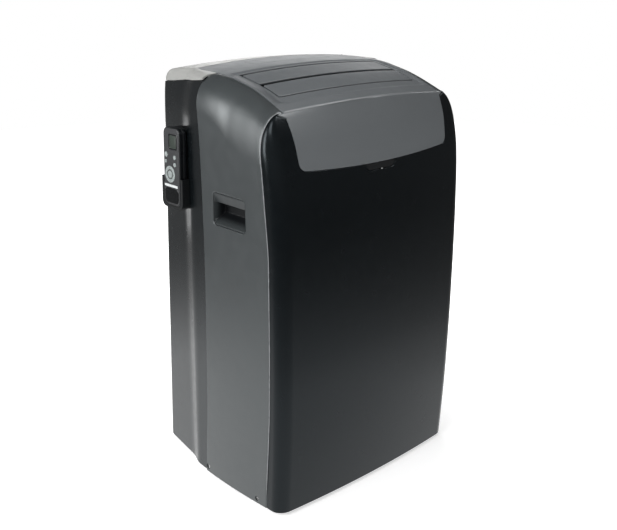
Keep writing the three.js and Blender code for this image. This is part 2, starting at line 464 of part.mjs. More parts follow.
// lower (hot air) scroll: body, throat and elbow to the exhaust collar
const condScroll = biggest(rod('y', 80, 30, 105, 0, COND_Z, 24).add(box(-79, 79, 30, 105, COND_Z, 452)).add(box(-79, 79, 30, 185.5, 300, 452))
  .subtract(rod('y', 77.5, 32.5, 102.5, 0, COND_Z, 24)).subtract(box(-76.5, 76.5, 32.5, 102.5, COND_Z, 449.5)).subtract(box(-76.5, 76.5, 32.5, 183, 302.5, 449.5))
  .subtract(rod('y', 70, 180, 190, 0, COLLAR_Z, 28)).subtract(rod('y', 56, 95, 115, 0, COND_Z, 18)).subtract(rod('y', 28.5, 20, 40, 0, COND_Z, 24)));

// ------------------------------------------------------------------- the rest
function coil(x0, x1, y0, y1, z0, z1, n) {
  let c = box(x0, x1, y0, y1, z0, z1);
  // end plates stand out over the fin pack
  const dz = (z1 - z0) / n;
  for (let i = 0; i < n; i++) {
    const z = z0 + dz * (i + 0.5);
    c = c.subtract(box(x0 + 4, x1 - 4, y1 - 2.5, y1 + 2, z - dz * 0.3, z + dz * 0.3));
    c = c.subtract(box(x0 + 4, x1 - 4, y0 - 2, y0 + 2.5, z - dz * 0.3, z + dz * 0.3));
  }
  return c;
}
function tube(pts, r, n = 8, steps = 26) {
  const path = new THREE.CatmullRomCurve3(pts.map((p) => new THREE.Vector3(...p)), false, 'centripetal');
  const s = new THREE.Shape(Array.from({ length: n }, (_, i) => new THREE.Vector2(r * Math.cos(2 * Math.PI * i / n), r * Math.sin(2 * Math.PI * i / n))));
  return solid(new THREE.ExtrudeGeometry(s, { steps, extrudePath: path, bevelEnabled: false }));
}
function filterPanel([x0, x1, z0, z1], n) {
  let f = prism('xz', roundRect(x0 + 0.6, x1 - 0.6, z0 + 0.6, z1 - 0.6, 9.5, 3), 192, 200.8)
    .subtract(prism('xz', roundRect(x0 + 11, x1 - 11, z0 + 11, z1 - 11, 4, 2), 180, 210));
  const pitch = (z1 - z0 - 22) / n;
  for (let i = 0; i < n; i++) {
    const z = z0 + 11 + pitch * (i + 0.5);
    f = f.add(prism('yz', [[193, z - 2.2], [199.6, z - 4.4], [199.6, z - 1.8], [193, z + 2.2]], x0 + 8, x1 - 8));
  }
  return biggest(f);
}
const collar = biggest(rod('y', COLLAR_R, 186, MAX_Y, 0, COLLAR_Z, 28).add(rod('y', 83, 200.4, 203, 0, COLLAR_Z, 28))
  .subtract(rod('y', COLLAR_R - 4, 180, 215, 0, COLLAR_Z, 28)));

const lathe = (pts, n, x, y) => {
  const g = new THREE.LatheGeometry(pts.map(([r, z]) => new THREE.Vector2(r, z)), n);
  g.rotateX(Math.PI / 2);
  return solid(g, at(x, y, 0));
};
const compressor = biggest(lathe([[0, 30], [46, 30], [51, 36], [52, 60], [52, 140], [49, 156], [40, 168], [24, 176], [0, 179]], 18, 60, -60)
  .add(box(4, 116, -116, -4, 26, 31)).add(rod('z', 9, 15.6, 27, 14, -106, 8)).add(rod('z', 9, 15.6, 27, 106, -106, 8)).add(rod('z', 9, 15.6, 27, 60, -12, 8))
  .add(box(86, 104, -122, -100, 100, 136)));
const accumulator = lathe([[0, 62], [14, 64], [19, 72], [20, 84], [20, 150], [17, 164], [8, 172], [0, 173]], 12, 138, -40);

// remote control, built upright at its place and leaned with the wall
const lean = (m) => m.translate([-REMOTE_BASE[0], 0, -REMOTE_BASE[1]]).rotate([0, REMOTE_LEAN, 0]).translate([REMOTE_BASE[0], 0, REMOTE_BASE[1]]);
const fx = REMOTE_BASE[0], rz = REMOTE_BASE[1], ry0 = REMOTE_Y - REMOTE_W / 2, ry1 = REMOTE_Y + REMOTE_W / 2;
const key = (a, b, r, h, x = fx + 1.2) => rod('x', r, x - h, x + 3.0, a, rz + b, r > 10 ? 20 : 14); // stands h proud of the face
const KEYS = { power: [114.5, 91, 4.6], a: [116, 78.5, 3.2], b: [88, 88, 3.8], c: [88, 75, 3.8] };
let remoteBody = prism('yz', roundRect(ry0, ry1, rz, rz + REMOTE_H, 12, 4), fx + 1.2, fx + REMOTE_T);
for (const [a, b, r] of Object.values(KEYS)) remoteBody = remoteBody.subtract(rod('x', r + GAP, fx - 5, fx + 1.2 + 4.4, a, rz + b, 14));
remoteBody = remoteBody.subtract(rod('x', 15 + GAP, fx - 5, fx + 1.2 + 4.4, 103, rz + 56, 20));
remoteBody = remoteBody.subtract(prism('yz', roundRect(81, 107, rz + 101, rz + 129, 2), fx - 5, fx + 3.2));
// the back's long edges are chamfered, so that it clears the wall when it is lifted out
for (const [ya, yb] of [[ry0 - 1, ry0 + 4], [ry1 + 1, ry1 - 4]]) {
  const c = [[fx + REMOTE_T - 5, ya], [fx + REMOTE_T + 1, ya], [fx + REMOTE_T + 1, yb]];
  remoteBody = remoteBody.subtract(prism('xy', ya < yb ? c : c.reverse(), rz - 5, rz + REMOTE_H + 5));
}
let cradle = prism('yz', roundRect(ry0 - 6, ry1 + 8, rz - 6, rz + 138, 12, 5), fx + 3, -190)
  .subtract(prism('yz', roundRect(ry0 - 0.5, ry1 + 0.5, rz - 0.5, rz + 200, 12, 5), fx - 5, fx + REMOTE_T + 0.5))
  .subtract(box(fx - 10, fx + REMOTE_T + 0.5, ry0 - 20, ry1 + 20, rz + 50, rz + 220));
cradle = lean(cradle);
cradle = biggest(cradle.subtract(rearBulk.translate([-GAP, 0, 0])).subtract(rearBulk).subtract(rearBulk.translate([-GAP, -GAP, 0])).subtract(box(-190.5, -100, 0, 300, 400, 800)));

// ------------------------------------------------------------------- assembly
const C = { black: 0x1d2023, grey: 0x5d6164, deck: 0x6a6e71, cap: 0x7b7d7c, dark: 0x15171a, body: 0x3c3f42,
  alu: 0xb9bcbe, copper: 0xb3703c, steel: 0x8d9093, white: 0xd9dbdb, zinc: 0xa9adb0, pcb: 0x2f5a3c };

piece('base_pan', base, C.body, 0.6);
piece('front_panel', frontPanel, C.black, 0.35);
piece('fascia_panel', fasciaPiece, C.grey, 0.38);
piece('signal_window', windowPiece, C.dark, 0.08);
piece('left_side_shell', leftShell, C.grey, 0.4);
piece('right_side_shell', mirrorX(leftShell), C.grey, 0.4);
piece('left_grip_cup', cup, C.dark, 0.5);
piece('right_grip_cup', mirrorX(cup), C.dark, 0.5);
piece('top_cover', deck, C.deck, 0.4);
piece('rear_cap', cap, C.cap, 0.42);
piece('rear_housing', rear, C.grey, 0.42);
piece('front_flap', flapF.m, C.deck, 0.4);
piece('rear_flap', flapR.m, C.deck, 0.4);
piece('outlet_duct', duct, C.dark, 0.6);
piece('swing_motor', rod('x', 14, 168.4, 184, -60, 716, 20), C.white, 0.4);
VANE_X.forEach((x, i) => {
  const v = box(x - 1, x + 1, -126, -20, 657, 700).add(rod('y', 2, -134.6, -11.4, x, VANE_PIVOT_Z, 10));
  piece(`outlet_vane_${i + 1}`, v, C.dark, 0.5);
});
piece('control_panel', (() => {
  const v0 = patch(10, 3, (u, v) => { const p = deckPoint(lerp(PANEL[0] + 0.5, PANEL[1] - 0.5, u), lerp(PANEL[2] + 0.5, PANEL[3] + 0.5, v) + 4); return p; }, 2.6);
  return biggest(v0.intersect(prism('xy', roundRect(PANEL[0] + 0.4, PANEL[1] - 0.4, PANEL[2] + 0.4, PANEL[3] - 0.4, 7.6), 740, 800)));
})(), C.deck, 0.25);
piece('upper_filter', filterPanel(UP, 7), C.grey, 0.5);
piece('lower_filter', filterPanel(LOW, 8), C.grey, 0.5);
piece('exhaust_collar', collar, C.dark, 0.5);
piece('evaporator_coil', coil(-152, 152, 150, 178, 478, 700, 7), C.alu, 0.45, 0.7);
piece('condenser_coil', coil(-152, 152, 140, 174, 62, 292, 7), C.alu, 0.45, 0.7);
piece('evaporator_wheel', blowerWheel(EVAP_Z, 68, -108, -42, 12), C.dark, 0.5);
piece('evaporator_scroll', evapScroll, C.white, 0.6);
piece('evaporator_motor', motor(EVAP_Z, 38, -168, -122.5, -84), C.steel, 0.4, 0.6);
piece('condenser_wheel', blowerWheel(COND_Z, 69, 40, 98, 12), C.dark, 0.5);
piece('condenser_scroll', condScroll, C.white, 0.6);
piece('condenser_motor', motor(COND_Z, 38, -38, 25.5, 64), C.steel, 0.4, 0.6);
piece('compressor', compressor, C.dark, 0.35, 0.2);
piece('suction_accumulator', accumulator, C.dark, 0.35, 0.2);
piece('discharge_pipe', tube([[60, -60, 179.6], [62, -60, 196], [88, -62, 208], [140, -40, 226], [180, 10, 250], [184, 90, 262], [178, 140, 262], [166, 157, 262], [152.6, 157, 262]], 4, 6, 24), C.copper, 0.3, 0.9);
piece('suction_pipe', tube([[138, -40, 173.6], [139, -39, 188], [160, -30, 216], [184, -10, 270], [188, 20, 380], [186, 70, 470], [178, 130, 520], [168, 164, 540], [152.6, 164, 540]], 5, 6, 26), C.copper, 0.3, 0.9);
piece('electrical_box', box(-168, -62, -152, -98, 250, 420).subtract(box(-165, -65, -149, -60, 253, 417)), C.zinc, 0.4, 0.5);
piece('control_board', box(-160, -70, -146, -144, 260, 410).add(box(-150, -120, -144.5, -120, 280, 320)).add(box(-110, -84, -144.5, -126, 350, 390)), C.pcb, 0.5);
piece('drain_tray', box(-165, 165, -122, 186, 460, 473).subtract(box(-162.5, 162.5, -119.5, 183.5, 462.5, 480)).subtract(rod('z', 6, 455, 465, -110, 60, 16)), C.white, 0.6);
piece('drain_plug', biggest(rod('y', 6.3, 185, 203, -60, 36, 10).add(rod('y', 10, 201, 206.4, -60, 36, 14)).add(box(-70.5, -49.5, 203.5, 206.6, 34.2, 37.8))), C.dark, 0.6);
piece('cord_gland', biggest(rod('y', 8, 190, 206.6, 150, 60, 10).add(rod('y', 11, 200.4, 203.4, 150, 60, 6)).subtract(rod('y', 4.2, 185, 215, 150, 60, 8))), C.dark, 0.6);
piece('remote_cradle', cradle, C.dark, 0.5);
piece('remote_body', lean(biggest(remoteBody)), C.grey, 0.3);
piece('remote_display', lean(prism('yz', roundRect(81.4, 106.6, rz + 101.4, rz + 128.6, 1.6), fx + 1.6, fx + 2.8)), 0x6b736c, 0.15);
piece('remote_power_key', lean(key(KEYS.power[0], KEYS.power[1], KEYS.power[2], 0.9)), C.white, 0.5);
piece('remote_key_1', lean(key(KEYS.a[0], KEYS.a[1], KEYS.a[2], 0.9)), C.white, 0.5);
piece('remote_key_2', lean(key(KEYS.b[0], KEYS.b[1], KEYS.b[2], 0.9)), C.white, 0.5);
piece('remote_key_3', lean(key(KEYS.c[0], KEYS.c[1], KEYS.c[2], 0.9)), C.white, 0.5);
piece('remote_dial_pad', lean(key(103, 56, 15, 0.9)), C.white, 0.5);
for (const [name, p] of Object.entries(CASTERS)) {
  const [fork, wheel] = caster(p);
  piece(`caster_fork_${name}`, fork, C.dark, 0.5);
  piece(`caster_wheel_${name}`, wheel, C.dark, 0.6);
}
for (const [sn, s] of [['left', -1], ['right', 1]]) {
  SCREWS.forEach(([y, z], i) => {
    const head = s * (sideX(y, z) - 1.4), inner = s * 214;
    const scr = biggest(rod('x', 4.2, Math.min(head, head - s * 2.2), Math.max(head, head - s * 2.2), y, z, 10)
      .add(rod('x', 1.9, Math.min(inner, head), Math.max(inner, head), y, z, 6)));
    piece(`${sn}_${i ? 'rear' : 'front'}_screw`, scr, C.zinc, 0.3, 0.8);
  });
}

export default group;
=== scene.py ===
import bpy, bmesh, math
import numpy as np
from mathutils import Vector, Matrix
from mathutils.geometry import delaunay_2d_cdt


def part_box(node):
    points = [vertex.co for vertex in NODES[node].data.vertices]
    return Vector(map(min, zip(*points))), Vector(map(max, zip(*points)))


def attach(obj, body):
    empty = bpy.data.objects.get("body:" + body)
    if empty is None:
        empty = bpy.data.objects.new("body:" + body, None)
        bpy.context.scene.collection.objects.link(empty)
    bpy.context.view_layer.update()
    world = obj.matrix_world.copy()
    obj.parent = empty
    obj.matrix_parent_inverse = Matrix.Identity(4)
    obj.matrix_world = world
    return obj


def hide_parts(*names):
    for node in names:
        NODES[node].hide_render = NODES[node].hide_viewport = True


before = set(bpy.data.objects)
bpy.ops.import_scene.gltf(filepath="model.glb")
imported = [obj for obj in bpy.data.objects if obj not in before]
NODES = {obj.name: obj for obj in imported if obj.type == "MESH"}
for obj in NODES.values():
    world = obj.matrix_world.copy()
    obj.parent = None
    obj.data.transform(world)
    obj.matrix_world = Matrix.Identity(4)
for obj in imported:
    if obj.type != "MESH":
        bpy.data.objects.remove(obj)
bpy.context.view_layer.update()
MM = 0.001
scene = bpy.context.scene

# ------------------------------------------------------------ outer surface (mm)
SEAM, SKIRT_Z, SEAM_X, CREASE_X, CREASE_Z, CROWN, SHOULDER_Z, CORNER_R = 0.5, 8.0, 228.0, 188.0, 719.0, 9.0, 640.0, 25.0
SHOULDER_POW, SEAM_SWELL = 2.45, 2.6
SIDE_BULGE, DECK_BACK_Y, REAR_Y = 6.0, 82.0, 200.0


def lerp(a, b, t): return a + (b - a) * t
def clamp(v, a, b): return min(b, max(a, v))
def smooth(t): t = clamp(t, 0, 1); return t * t * (3 - 2 * t)


def curve(tab):
    n = len(tab)
    d = [(tab[i + 1][1] - tab[i][1]) / (tab[i + 1][0] - tab[i][0]) for i in range(n - 1)]
    m = [d[0]] + [0 if d[i - 1] * d[i] <= 0 else 2 * d[i - 1] * d[i] / (d[i - 1] + d[i]) for i in range(1, n - 1)] + [d[-1]]
    def f(v):
        k = 0
        while k < n - 2 and v > tab[k + 1][0]: k += 1
        h = tab[k + 1][0] - tab[k][0]; s = clamp((v - tab[k][0]) / h, 0, 1)
        return ((2 * s**3 - 3 * s * s + 1) * tab[k][1] + (s**3 - 2 * s * s + s) * h * m[k]
                + (-2 * s**3 + 3 * s * s) * tab[k + 1][1] + (s**3 - s * s) * h * m[k + 1])
    return f


front_y = curve([(8, -195), (46, -197.5), (138, -202.5), (198, -204.5), (300, -206.6), (400, -207), (475, -206.5),
                 (548, -204), (618, -198.5), (673, -190), (719, -174)])
seam_y = curve([(8, -150), (46, -152), (138, -158.5), (198, -162), (371, -165.6), (475, -166), (548, -162), (620, -157),
                (677, -152), (719, -157.5)])


def swell(z): return SEAM_SWELL * smooth((z - 480) / 150)


def half_w(z):
    if z <= SHOULDER_Z: return SEAM_X + swell(z)
    return CREASE_X + (SEAM_X + SEAM_SWELL - CREASE_X) * max(0, 1 - ((z - SHOULDER_Z) / (CREASE_Z - SHOULDER_Z)) ** SHOULDER_POW) ** (1 / SHOULDER_POW)


def bulge(z): return 10.5 if z < 620 else 10.5 + 4.5 * (z - 620) / (CREASE_Z - 620)


def front_edge_x(z):
    xw, ys = half_w(z), seam_y(z) - SEAM / 2
    r = max(0.4, min(CORNER_R, 0.92 * (ys - front_y(z) - bulge(z))))
    return xw - r, r


def front(s, z):
    xw, ys, yc, b = half_w(z), seam_y(z) - SEAM / 2, front_y(z), bulge(z)
    xe, r = front_edge_x(z)
    a, sg = abs(s), (-1 if s < 0 else 1)
    k = b * (xe / xw) ** 2; th0 = math.atan(2 * b * xe / (xw * xw))
    if a <= 0.6:
        x = xe * a / 0.6; y = yc + b * (x / xw) ** 2
    elif a <= 0.9:
        th = lerp(th0, math.pi / 2, (a - 0.6) / 0.3)
        x = xe + r * (math.sin(th) - math.sin(th0)) / (1 - math.sin(th0)); y = yc + k + r * (math.cos(th0) - math.cos(th))
    else:
        x = xw; y = lerp(yc + k + r * math.cos(th0), ys, (a - 0.9) / 0.1)
    w = clamp((z - 629) / (CREASE_Z - 629), 0, 1)
    return (sg * x, y, z + CROWN * (1 - min(1, (x / CREASE_X) ** 2)) * w * w)


A1, A2, A3 = 203.0, 240.0, 256.0
def s_of_a(a):
    g = -1 if a < 0 else 1; a = abs(a)
    if a <= A1: s = 0.6 * a / A1
    elif a <= A2: s = 0.6 + 0.3 * (a - A1) / (A2 - A1)
    else: s = 0.9 + 0.1 * (a - A2) / (A3 - A2)
    return g * s
def front_az(a, z): return front(s_of_a(a), z)
def a_of_x(x, z):
    xe, r = front_edge_x(z)
    return x * A1 / xe if abs(x) <= xe else math.copysign(A1 + (abs(x) - xe) / max(r, 0.5) * 24, x)


deck_h = curve([(-159, 719), (-132, 731), (-107, 741), (-79, 750), (-48, 757), (-20, 762.5), (6, 765), (40, 766.7), (82, 767)])


def deck_edge(yn): return lerp(CREASE_X, 184, clamp((yn + 159) / 165, 0, 1))


def box_sdf(x, y, x0, x1, y0, y1, r):
    cx, cy, hx, hy = (x0 + x1) / 2, (y0 + y1) / 2, (x1 - x0) / 2 - r, (y1 - y0) / 2 - r
    dx, dy = abs(x - cx) - hx, abs(y - cy) - hy
    return math.hypot(max(dx, 0), max(dy, 0)) + min(max(dx, dy), 0) - r


def deck_raw(x, yn):
    v = clamp((yn + 159) / (DECK_BACK_Y + 159), 0, 1); q = 1 - min(1, (x / CREASE_X) ** 2)
    return (x, yn - 15 * q * (1 - v) ** 1.3, deck_h(yn) + CROWN * (1 - (x / CREASE_X) ** 2))


def deck(x, yn):
    p = deck_raw(x, yn)
    d = box_sdf(x, yn, -176.5, 176.5, -139, -6, 13)
    return (p[0], p[1], p[2] - 1.5 * smooth(-d / 3.2))


shoulder_b = curve([(-159, 79), (-130, 88), (-95, 92), (-70, 90), (-38, 70), (0, 60), (82, 60)])
shoulder_pow = curve([(-159, SHOULDER_POW), (-130, 2.2), (-90, 2.05), (0, 2), (82, 2)])


def side_x(y, z):
    t = clamp((y + 165) / 215, 0, 1); amp = lerp(SIDE_BULGE, 1.6, clamp((z - 8) / 690, 0, 1))
    return SEAM_X + swell(z) * (1 - smooth((y + 160) / 130)) + amp * math.sin(math.pi * min(1, t / 0.62) / 2) * (1 if t < 0.62 else 1 - 0.45 * ((t - 0.62) / 0.38) ** 2)


rear_edge = curve([(8, 26), (72, 22), (138, 17), (198, 14), (300, 11), (372, 9), (460, 8), (529, 8.5), (584, 9.5), (655, 12), (700, 15)])
P1, P2 = 640.0, 100.0
def s_of_p(p): return 0.72 * p / P1 if p <= P1 else 0.72 + 0.28 * (p - P1) / P2


def side_front_y(s):
    if s <= 0.72: return seam_y(lerp(SKIRT_Z, SHOULDER_Z, s / 0.72)) + SEAM / 2
    return seam_y(lerp(SHOULDER_Z, CREASE_Z, math.sin((s - 0.72) / 0.28 * math.pi / 2) ** (2 / SHOULDER_POW))) + SEAM / 2


def side_rear_y(s):
    if s <= 0.72: return rear_edge(lerp(SKIRT_Z, 705, s / 0.72))
    th = (s - 0.72) / 0.28
    return 15 + 9 * math.sin(math.pi * min(1, th * 1.15) * 0.6) - 12.5 * th * th


def side_yp(y, p):
    s = s_of_p(p); top = deck_h(y); b = shoulder_b(y); zs = top - b
    if s <= 0.72:
        z = lerp(SKIRT_Z, zs, s / 0.72); return (-side_x(y, z), y, z)
    th = (s - 0.72) / 0.28 * math.pi / 2; xe = deck_edge(y) + SEAM / 2; a = side_x(y, min(zs, 700)) - xe
    e = 2 / shoulder_pow(y)
    return (-(xe + a * max(0, math.cos(th)) ** e), y, zs + b * max(0, math.sin(th)) ** e)


def p_of_z(y, z):
    zs = deck_h(y) - shoulder_b(y); return P1 * (z - SKIRT_Z) / (zs - SKIRT_Z)


def rear_plan(z):
    t = clamp((z - 8) / 692, 0, 1); q = 12 * ((z - 690) / 60) ** 2 if z > 690 else 0
    return [(-lerp(230.2, 226.2, t) + 0.2 + q, rear_edge(min(z, 700)) + 1.2), (-lerp(228.3, 216.5, t) + q, lerp(60, 59, t)),
            (-lerp(217, 198.5, t) + q * 0.9, lerp(88, 100, t)), (-lerp(199, 175, t) + q * 0.4, REAR_Y)]


REAR_R = 16.0
def rear_loop(s, z):
    A, B, C, D = rear_plan(z)
    g = (0, 0.18, 0.4, 0.72, 0.86, 1)
    if s <= g[1]: t = s / g[1]; return (lerp(A[0], B[0], t), lerp(A[1], B[1], t))
    if s <= g[2]: t = (s - g[1]) / (g[2] - g[1]); return (lerp(B[0], C[0], t), lerp(B[1], C[1], t))
    L = math.hypot(D[0] - C[0], D[1] - C[1]); e = ((D[0] - C[0]) / L, (D[1] - C[1]) / L)
    E = (D[0] - e[0] * REAR_R, D[1] - e[1] * REAR_R)
    if s <= g[3]: t = (s - g[2]) / (g[3] - g[2]); return (lerp(C[0], E[0], t), lerp(C[1], E[1], t))
    F = (D[0] + REAR_R, REAR_Y)
    if s <= g[4]:
        t = (s - g[3]) / (g[4] - g[3])
        return ((1 - t) ** 2 * E[0] + 2 * t * (1 - t) * D[0] + t * t * F[0], (1 - t) ** 2 * E[1] + 2 * t * (1 - t) * D[1] + t * t * F[1])
    return (lerp(F[0], 0, (s - g[4]) / (1 - g[4])), REAR_Y)


cap_edge = curve([(10, 757), (50, 752), (100, 747), (160, 739), (200, 735)])


def rear_blend(s, z):
    """the plan loop with its two vertical breaks rounded off"""
    g1, g2, w = 0.18, 0.4, 0.05
    for g in (g1, g2):
        if abs(s - g) < w:
            p0, p1, p2 = rear_loop(g - w, z), rear_loop(g, z), rear_loop(g + w, z); t = (s - g + w) / (2 * w)
            return tuple((1 - t) ** 2 * p0[i] + 2 * t * (1 - t) * p1[i] + t * t * p2[i] for i in (0, 1))
    return rear_loop(s, z)


RA = (0.0, 33.0, 71.0, 153.0, 178.0, 345.0)   # arc length stations of the half loop
RG = (0, 0.18, 0.4, 0.72, 0.86, 1)
def rs_of_a(a):
    for i in range(5):
        if a <= RA[i + 1] or i == 4: return lerp(RG[i], RG[i + 1], (a - RA[i]) / (RA[i + 1] - RA[i]))
RTOT = 2 * RA[-1]
def rear_az(a, q):
    """a: length along the loop from the left edge to the right one; q: 0..1 from skirt to cap line, times 730"""
    s = rs_of_a(a) if a <= RA[-1] else rs_of_a(RTOT - a); sg = 1 if a <= RA[-1] else -1
    top = cap_edge(rear_blend(s, 740)[1]) - SEAM / 2
    z = lerp(SKIRT_Z, top, q / 730.0); p = rear_blend(s, z)
    return (sg * p[0], p[1], z)
def rear_q(z, y=200.0): return 730.0 * (z - SKIRT_Z) / (cap_edge(y) - SEAM / 2 - SKIRT_Z)
def rear_a(x, z):
    """loop length for a point on the flat rear wall"""
    F = rear_loop(0.86, z)[0]
    t = (x - F) / (0 - F)
    return RA[4] + t * (RA[5] - RA[4]) if x <= 0 else RTOT - (RA[4] + (-x - F) / (0 - F) * (RA[5] - RA[4]))


def cap_surface(u, v):
    s = 2 * u; sg = 1 if s <= 1 else -1; s = s if s <= 1 else 2 - s
    p0 = rear_blend(s, 745); x0, y0 = sg * p0[0], p0[1]
    ze = cap_edge(y0) + SEAM / 2; sx = 1 if x0 > 0 else -1
    if y0 < 150: xi = sx * (184 - max(0, y0 - 60) * 0.35); yi = min(y0, DECK_BACK_Y - 6)
    else: xi = x0 * 0.82; yi = DECK_BACK_Y + 1
    if abs(xi) < 183.5 and yi < DECK_BACK_Y + 1 and y0 > 80: yi = DECK_BACK_Y + 1
    L = max(1e-6, math.hypot(xi - x0, yi - y0)); r = clamp(L * 0.98, 1, 24); dx, dy = (xi - x0) / L, (yi - y0) / L
    def top_z(x, y):
        base = lerp(767, 752, ((y - DECK_BACK_Y) / 118) ** 1.5) if y > DECK_BACK_Y else deck_h(min(y, 82))
        return base + CROWN * (1 - (x / CREASE_X) ** 2)
    vr = 0.6
    if v <= vr:
        a = v / vr * math.pi / 2; d = r * (1 - math.cos(a)); ex, ey = x0 + dx * r, y0 + dy * r
        return (x0 + dx * d, y0 + dy * d, lerp(ze, max(ze + 2, top_z(ex, ey)), math.sin(a)))
    d = lerp(r, L, (v - vr) / (1 - vr)); x, y = x0 + dx * d, y0 + dy * d
    return (x, y, max(ze + 2, top_z(x, y)))


# ---------------------------------------------------------------- mesh helpers
def new_object(name, verts, faces, body, material, normals=None, smooth_all=True):
    me = bpy.data.meshes.new(name)
    me.from_pydata([tuple(c * MM for c in v) for v in verts], [], faces)
    me.update()
    if smooth_all:
        me.polygons.foreach_set("use_smooth", [True] * len(me.polygons))
    if normals is not None:
        me.normals_split_custom_set_from_vertices([tuple(n) for n in normals])
    ob = bpy.data.objects.new(name, me)
    scene.collection.objects.link(ob)
    ob.data.materials.append(material)
    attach(ob, body)
    return ob


def area2(p):
    p = np.asarray(p); q = np.roll(p, -1, 0); return float(np.sum(p[:, 0] * q[:, 1] - q[:, 0] * p[:, 1]))


def dense(poly, step, kinds=None):
    out, ks = [], []
    n = len(poly)
    for i in range(n):
        a, b = poly[i], poly[(i + 1) % n]
        L = math.hypot(b[0] - a[0], b[1] - a[1]); m = max(1, int(math.ceil(L / step)))
        for j in range(m):
            out.append((lerp(a[0], b[0], j / m), lerp(a[1], b[1], j / m))); ks.append(kinds[i] if kinds else 0)
    return out, ks


def inside(poly, pts):
    poly = np.asarray(poly, float); pts = np.asarray(pts, float); res = np.zeros(len(pts), bool)
    x, y = pts[:, 0], pts[:, 1]; n = len(poly)
    for i in range(n):
        x1, y1 = poly[i]; x2, y2 = poly[(i + 1) % n]
        if y1 == y2: continue
        c = ((y1 > y) != (y2 > y)) & (x < (x2 - x1) * (y - y1) / (y2 - y1) + x1)
        res ^= c
    return res


def seg_dist(poly, pts):
    poly = np.asarray(poly, float); pts = np.asarray(pts, float); best = np.full(len(pts), 1e9)
    for i in range(len(poly)):
        a = poly[i]; b = poly[(i + 1) % len(poly)]; ab = b - a; L = max(1e-12, float(ab @ ab))
        t = np.clip(((pts - a) @ ab) / L, 0, 1); d = np.hypot(*(pts - a - t[:, None] * ab).T)
        best = np.minimum(best, d)
    return best


def unit(v):
    L = math.sqrt(sum(c * c for c in v)) or 1.0
    return tuple(c / L for c in v)


def cross(a, b): return (a[1] * b[2] - a[2] * b[1], a[2] * b[0] - a[0] * b[2], a[0] * b[1] - a[1] * b[0])


RIM_KINDS = {0: (1.1, 90.0, 0.0), 1: (5.0, 27.0, 0.25), 2: (2.2, 90.0, 0.0), 3: (0.5, 90.0, 0.0), 4: (3.5, 90.0, 0.0), 5: (2.4, 80.0, 0.0), 6: (9.0, 24.0, 0.0), 7: (8.0, 32.0, 0.25), 8: (3.0, 40.0, 0.1)}


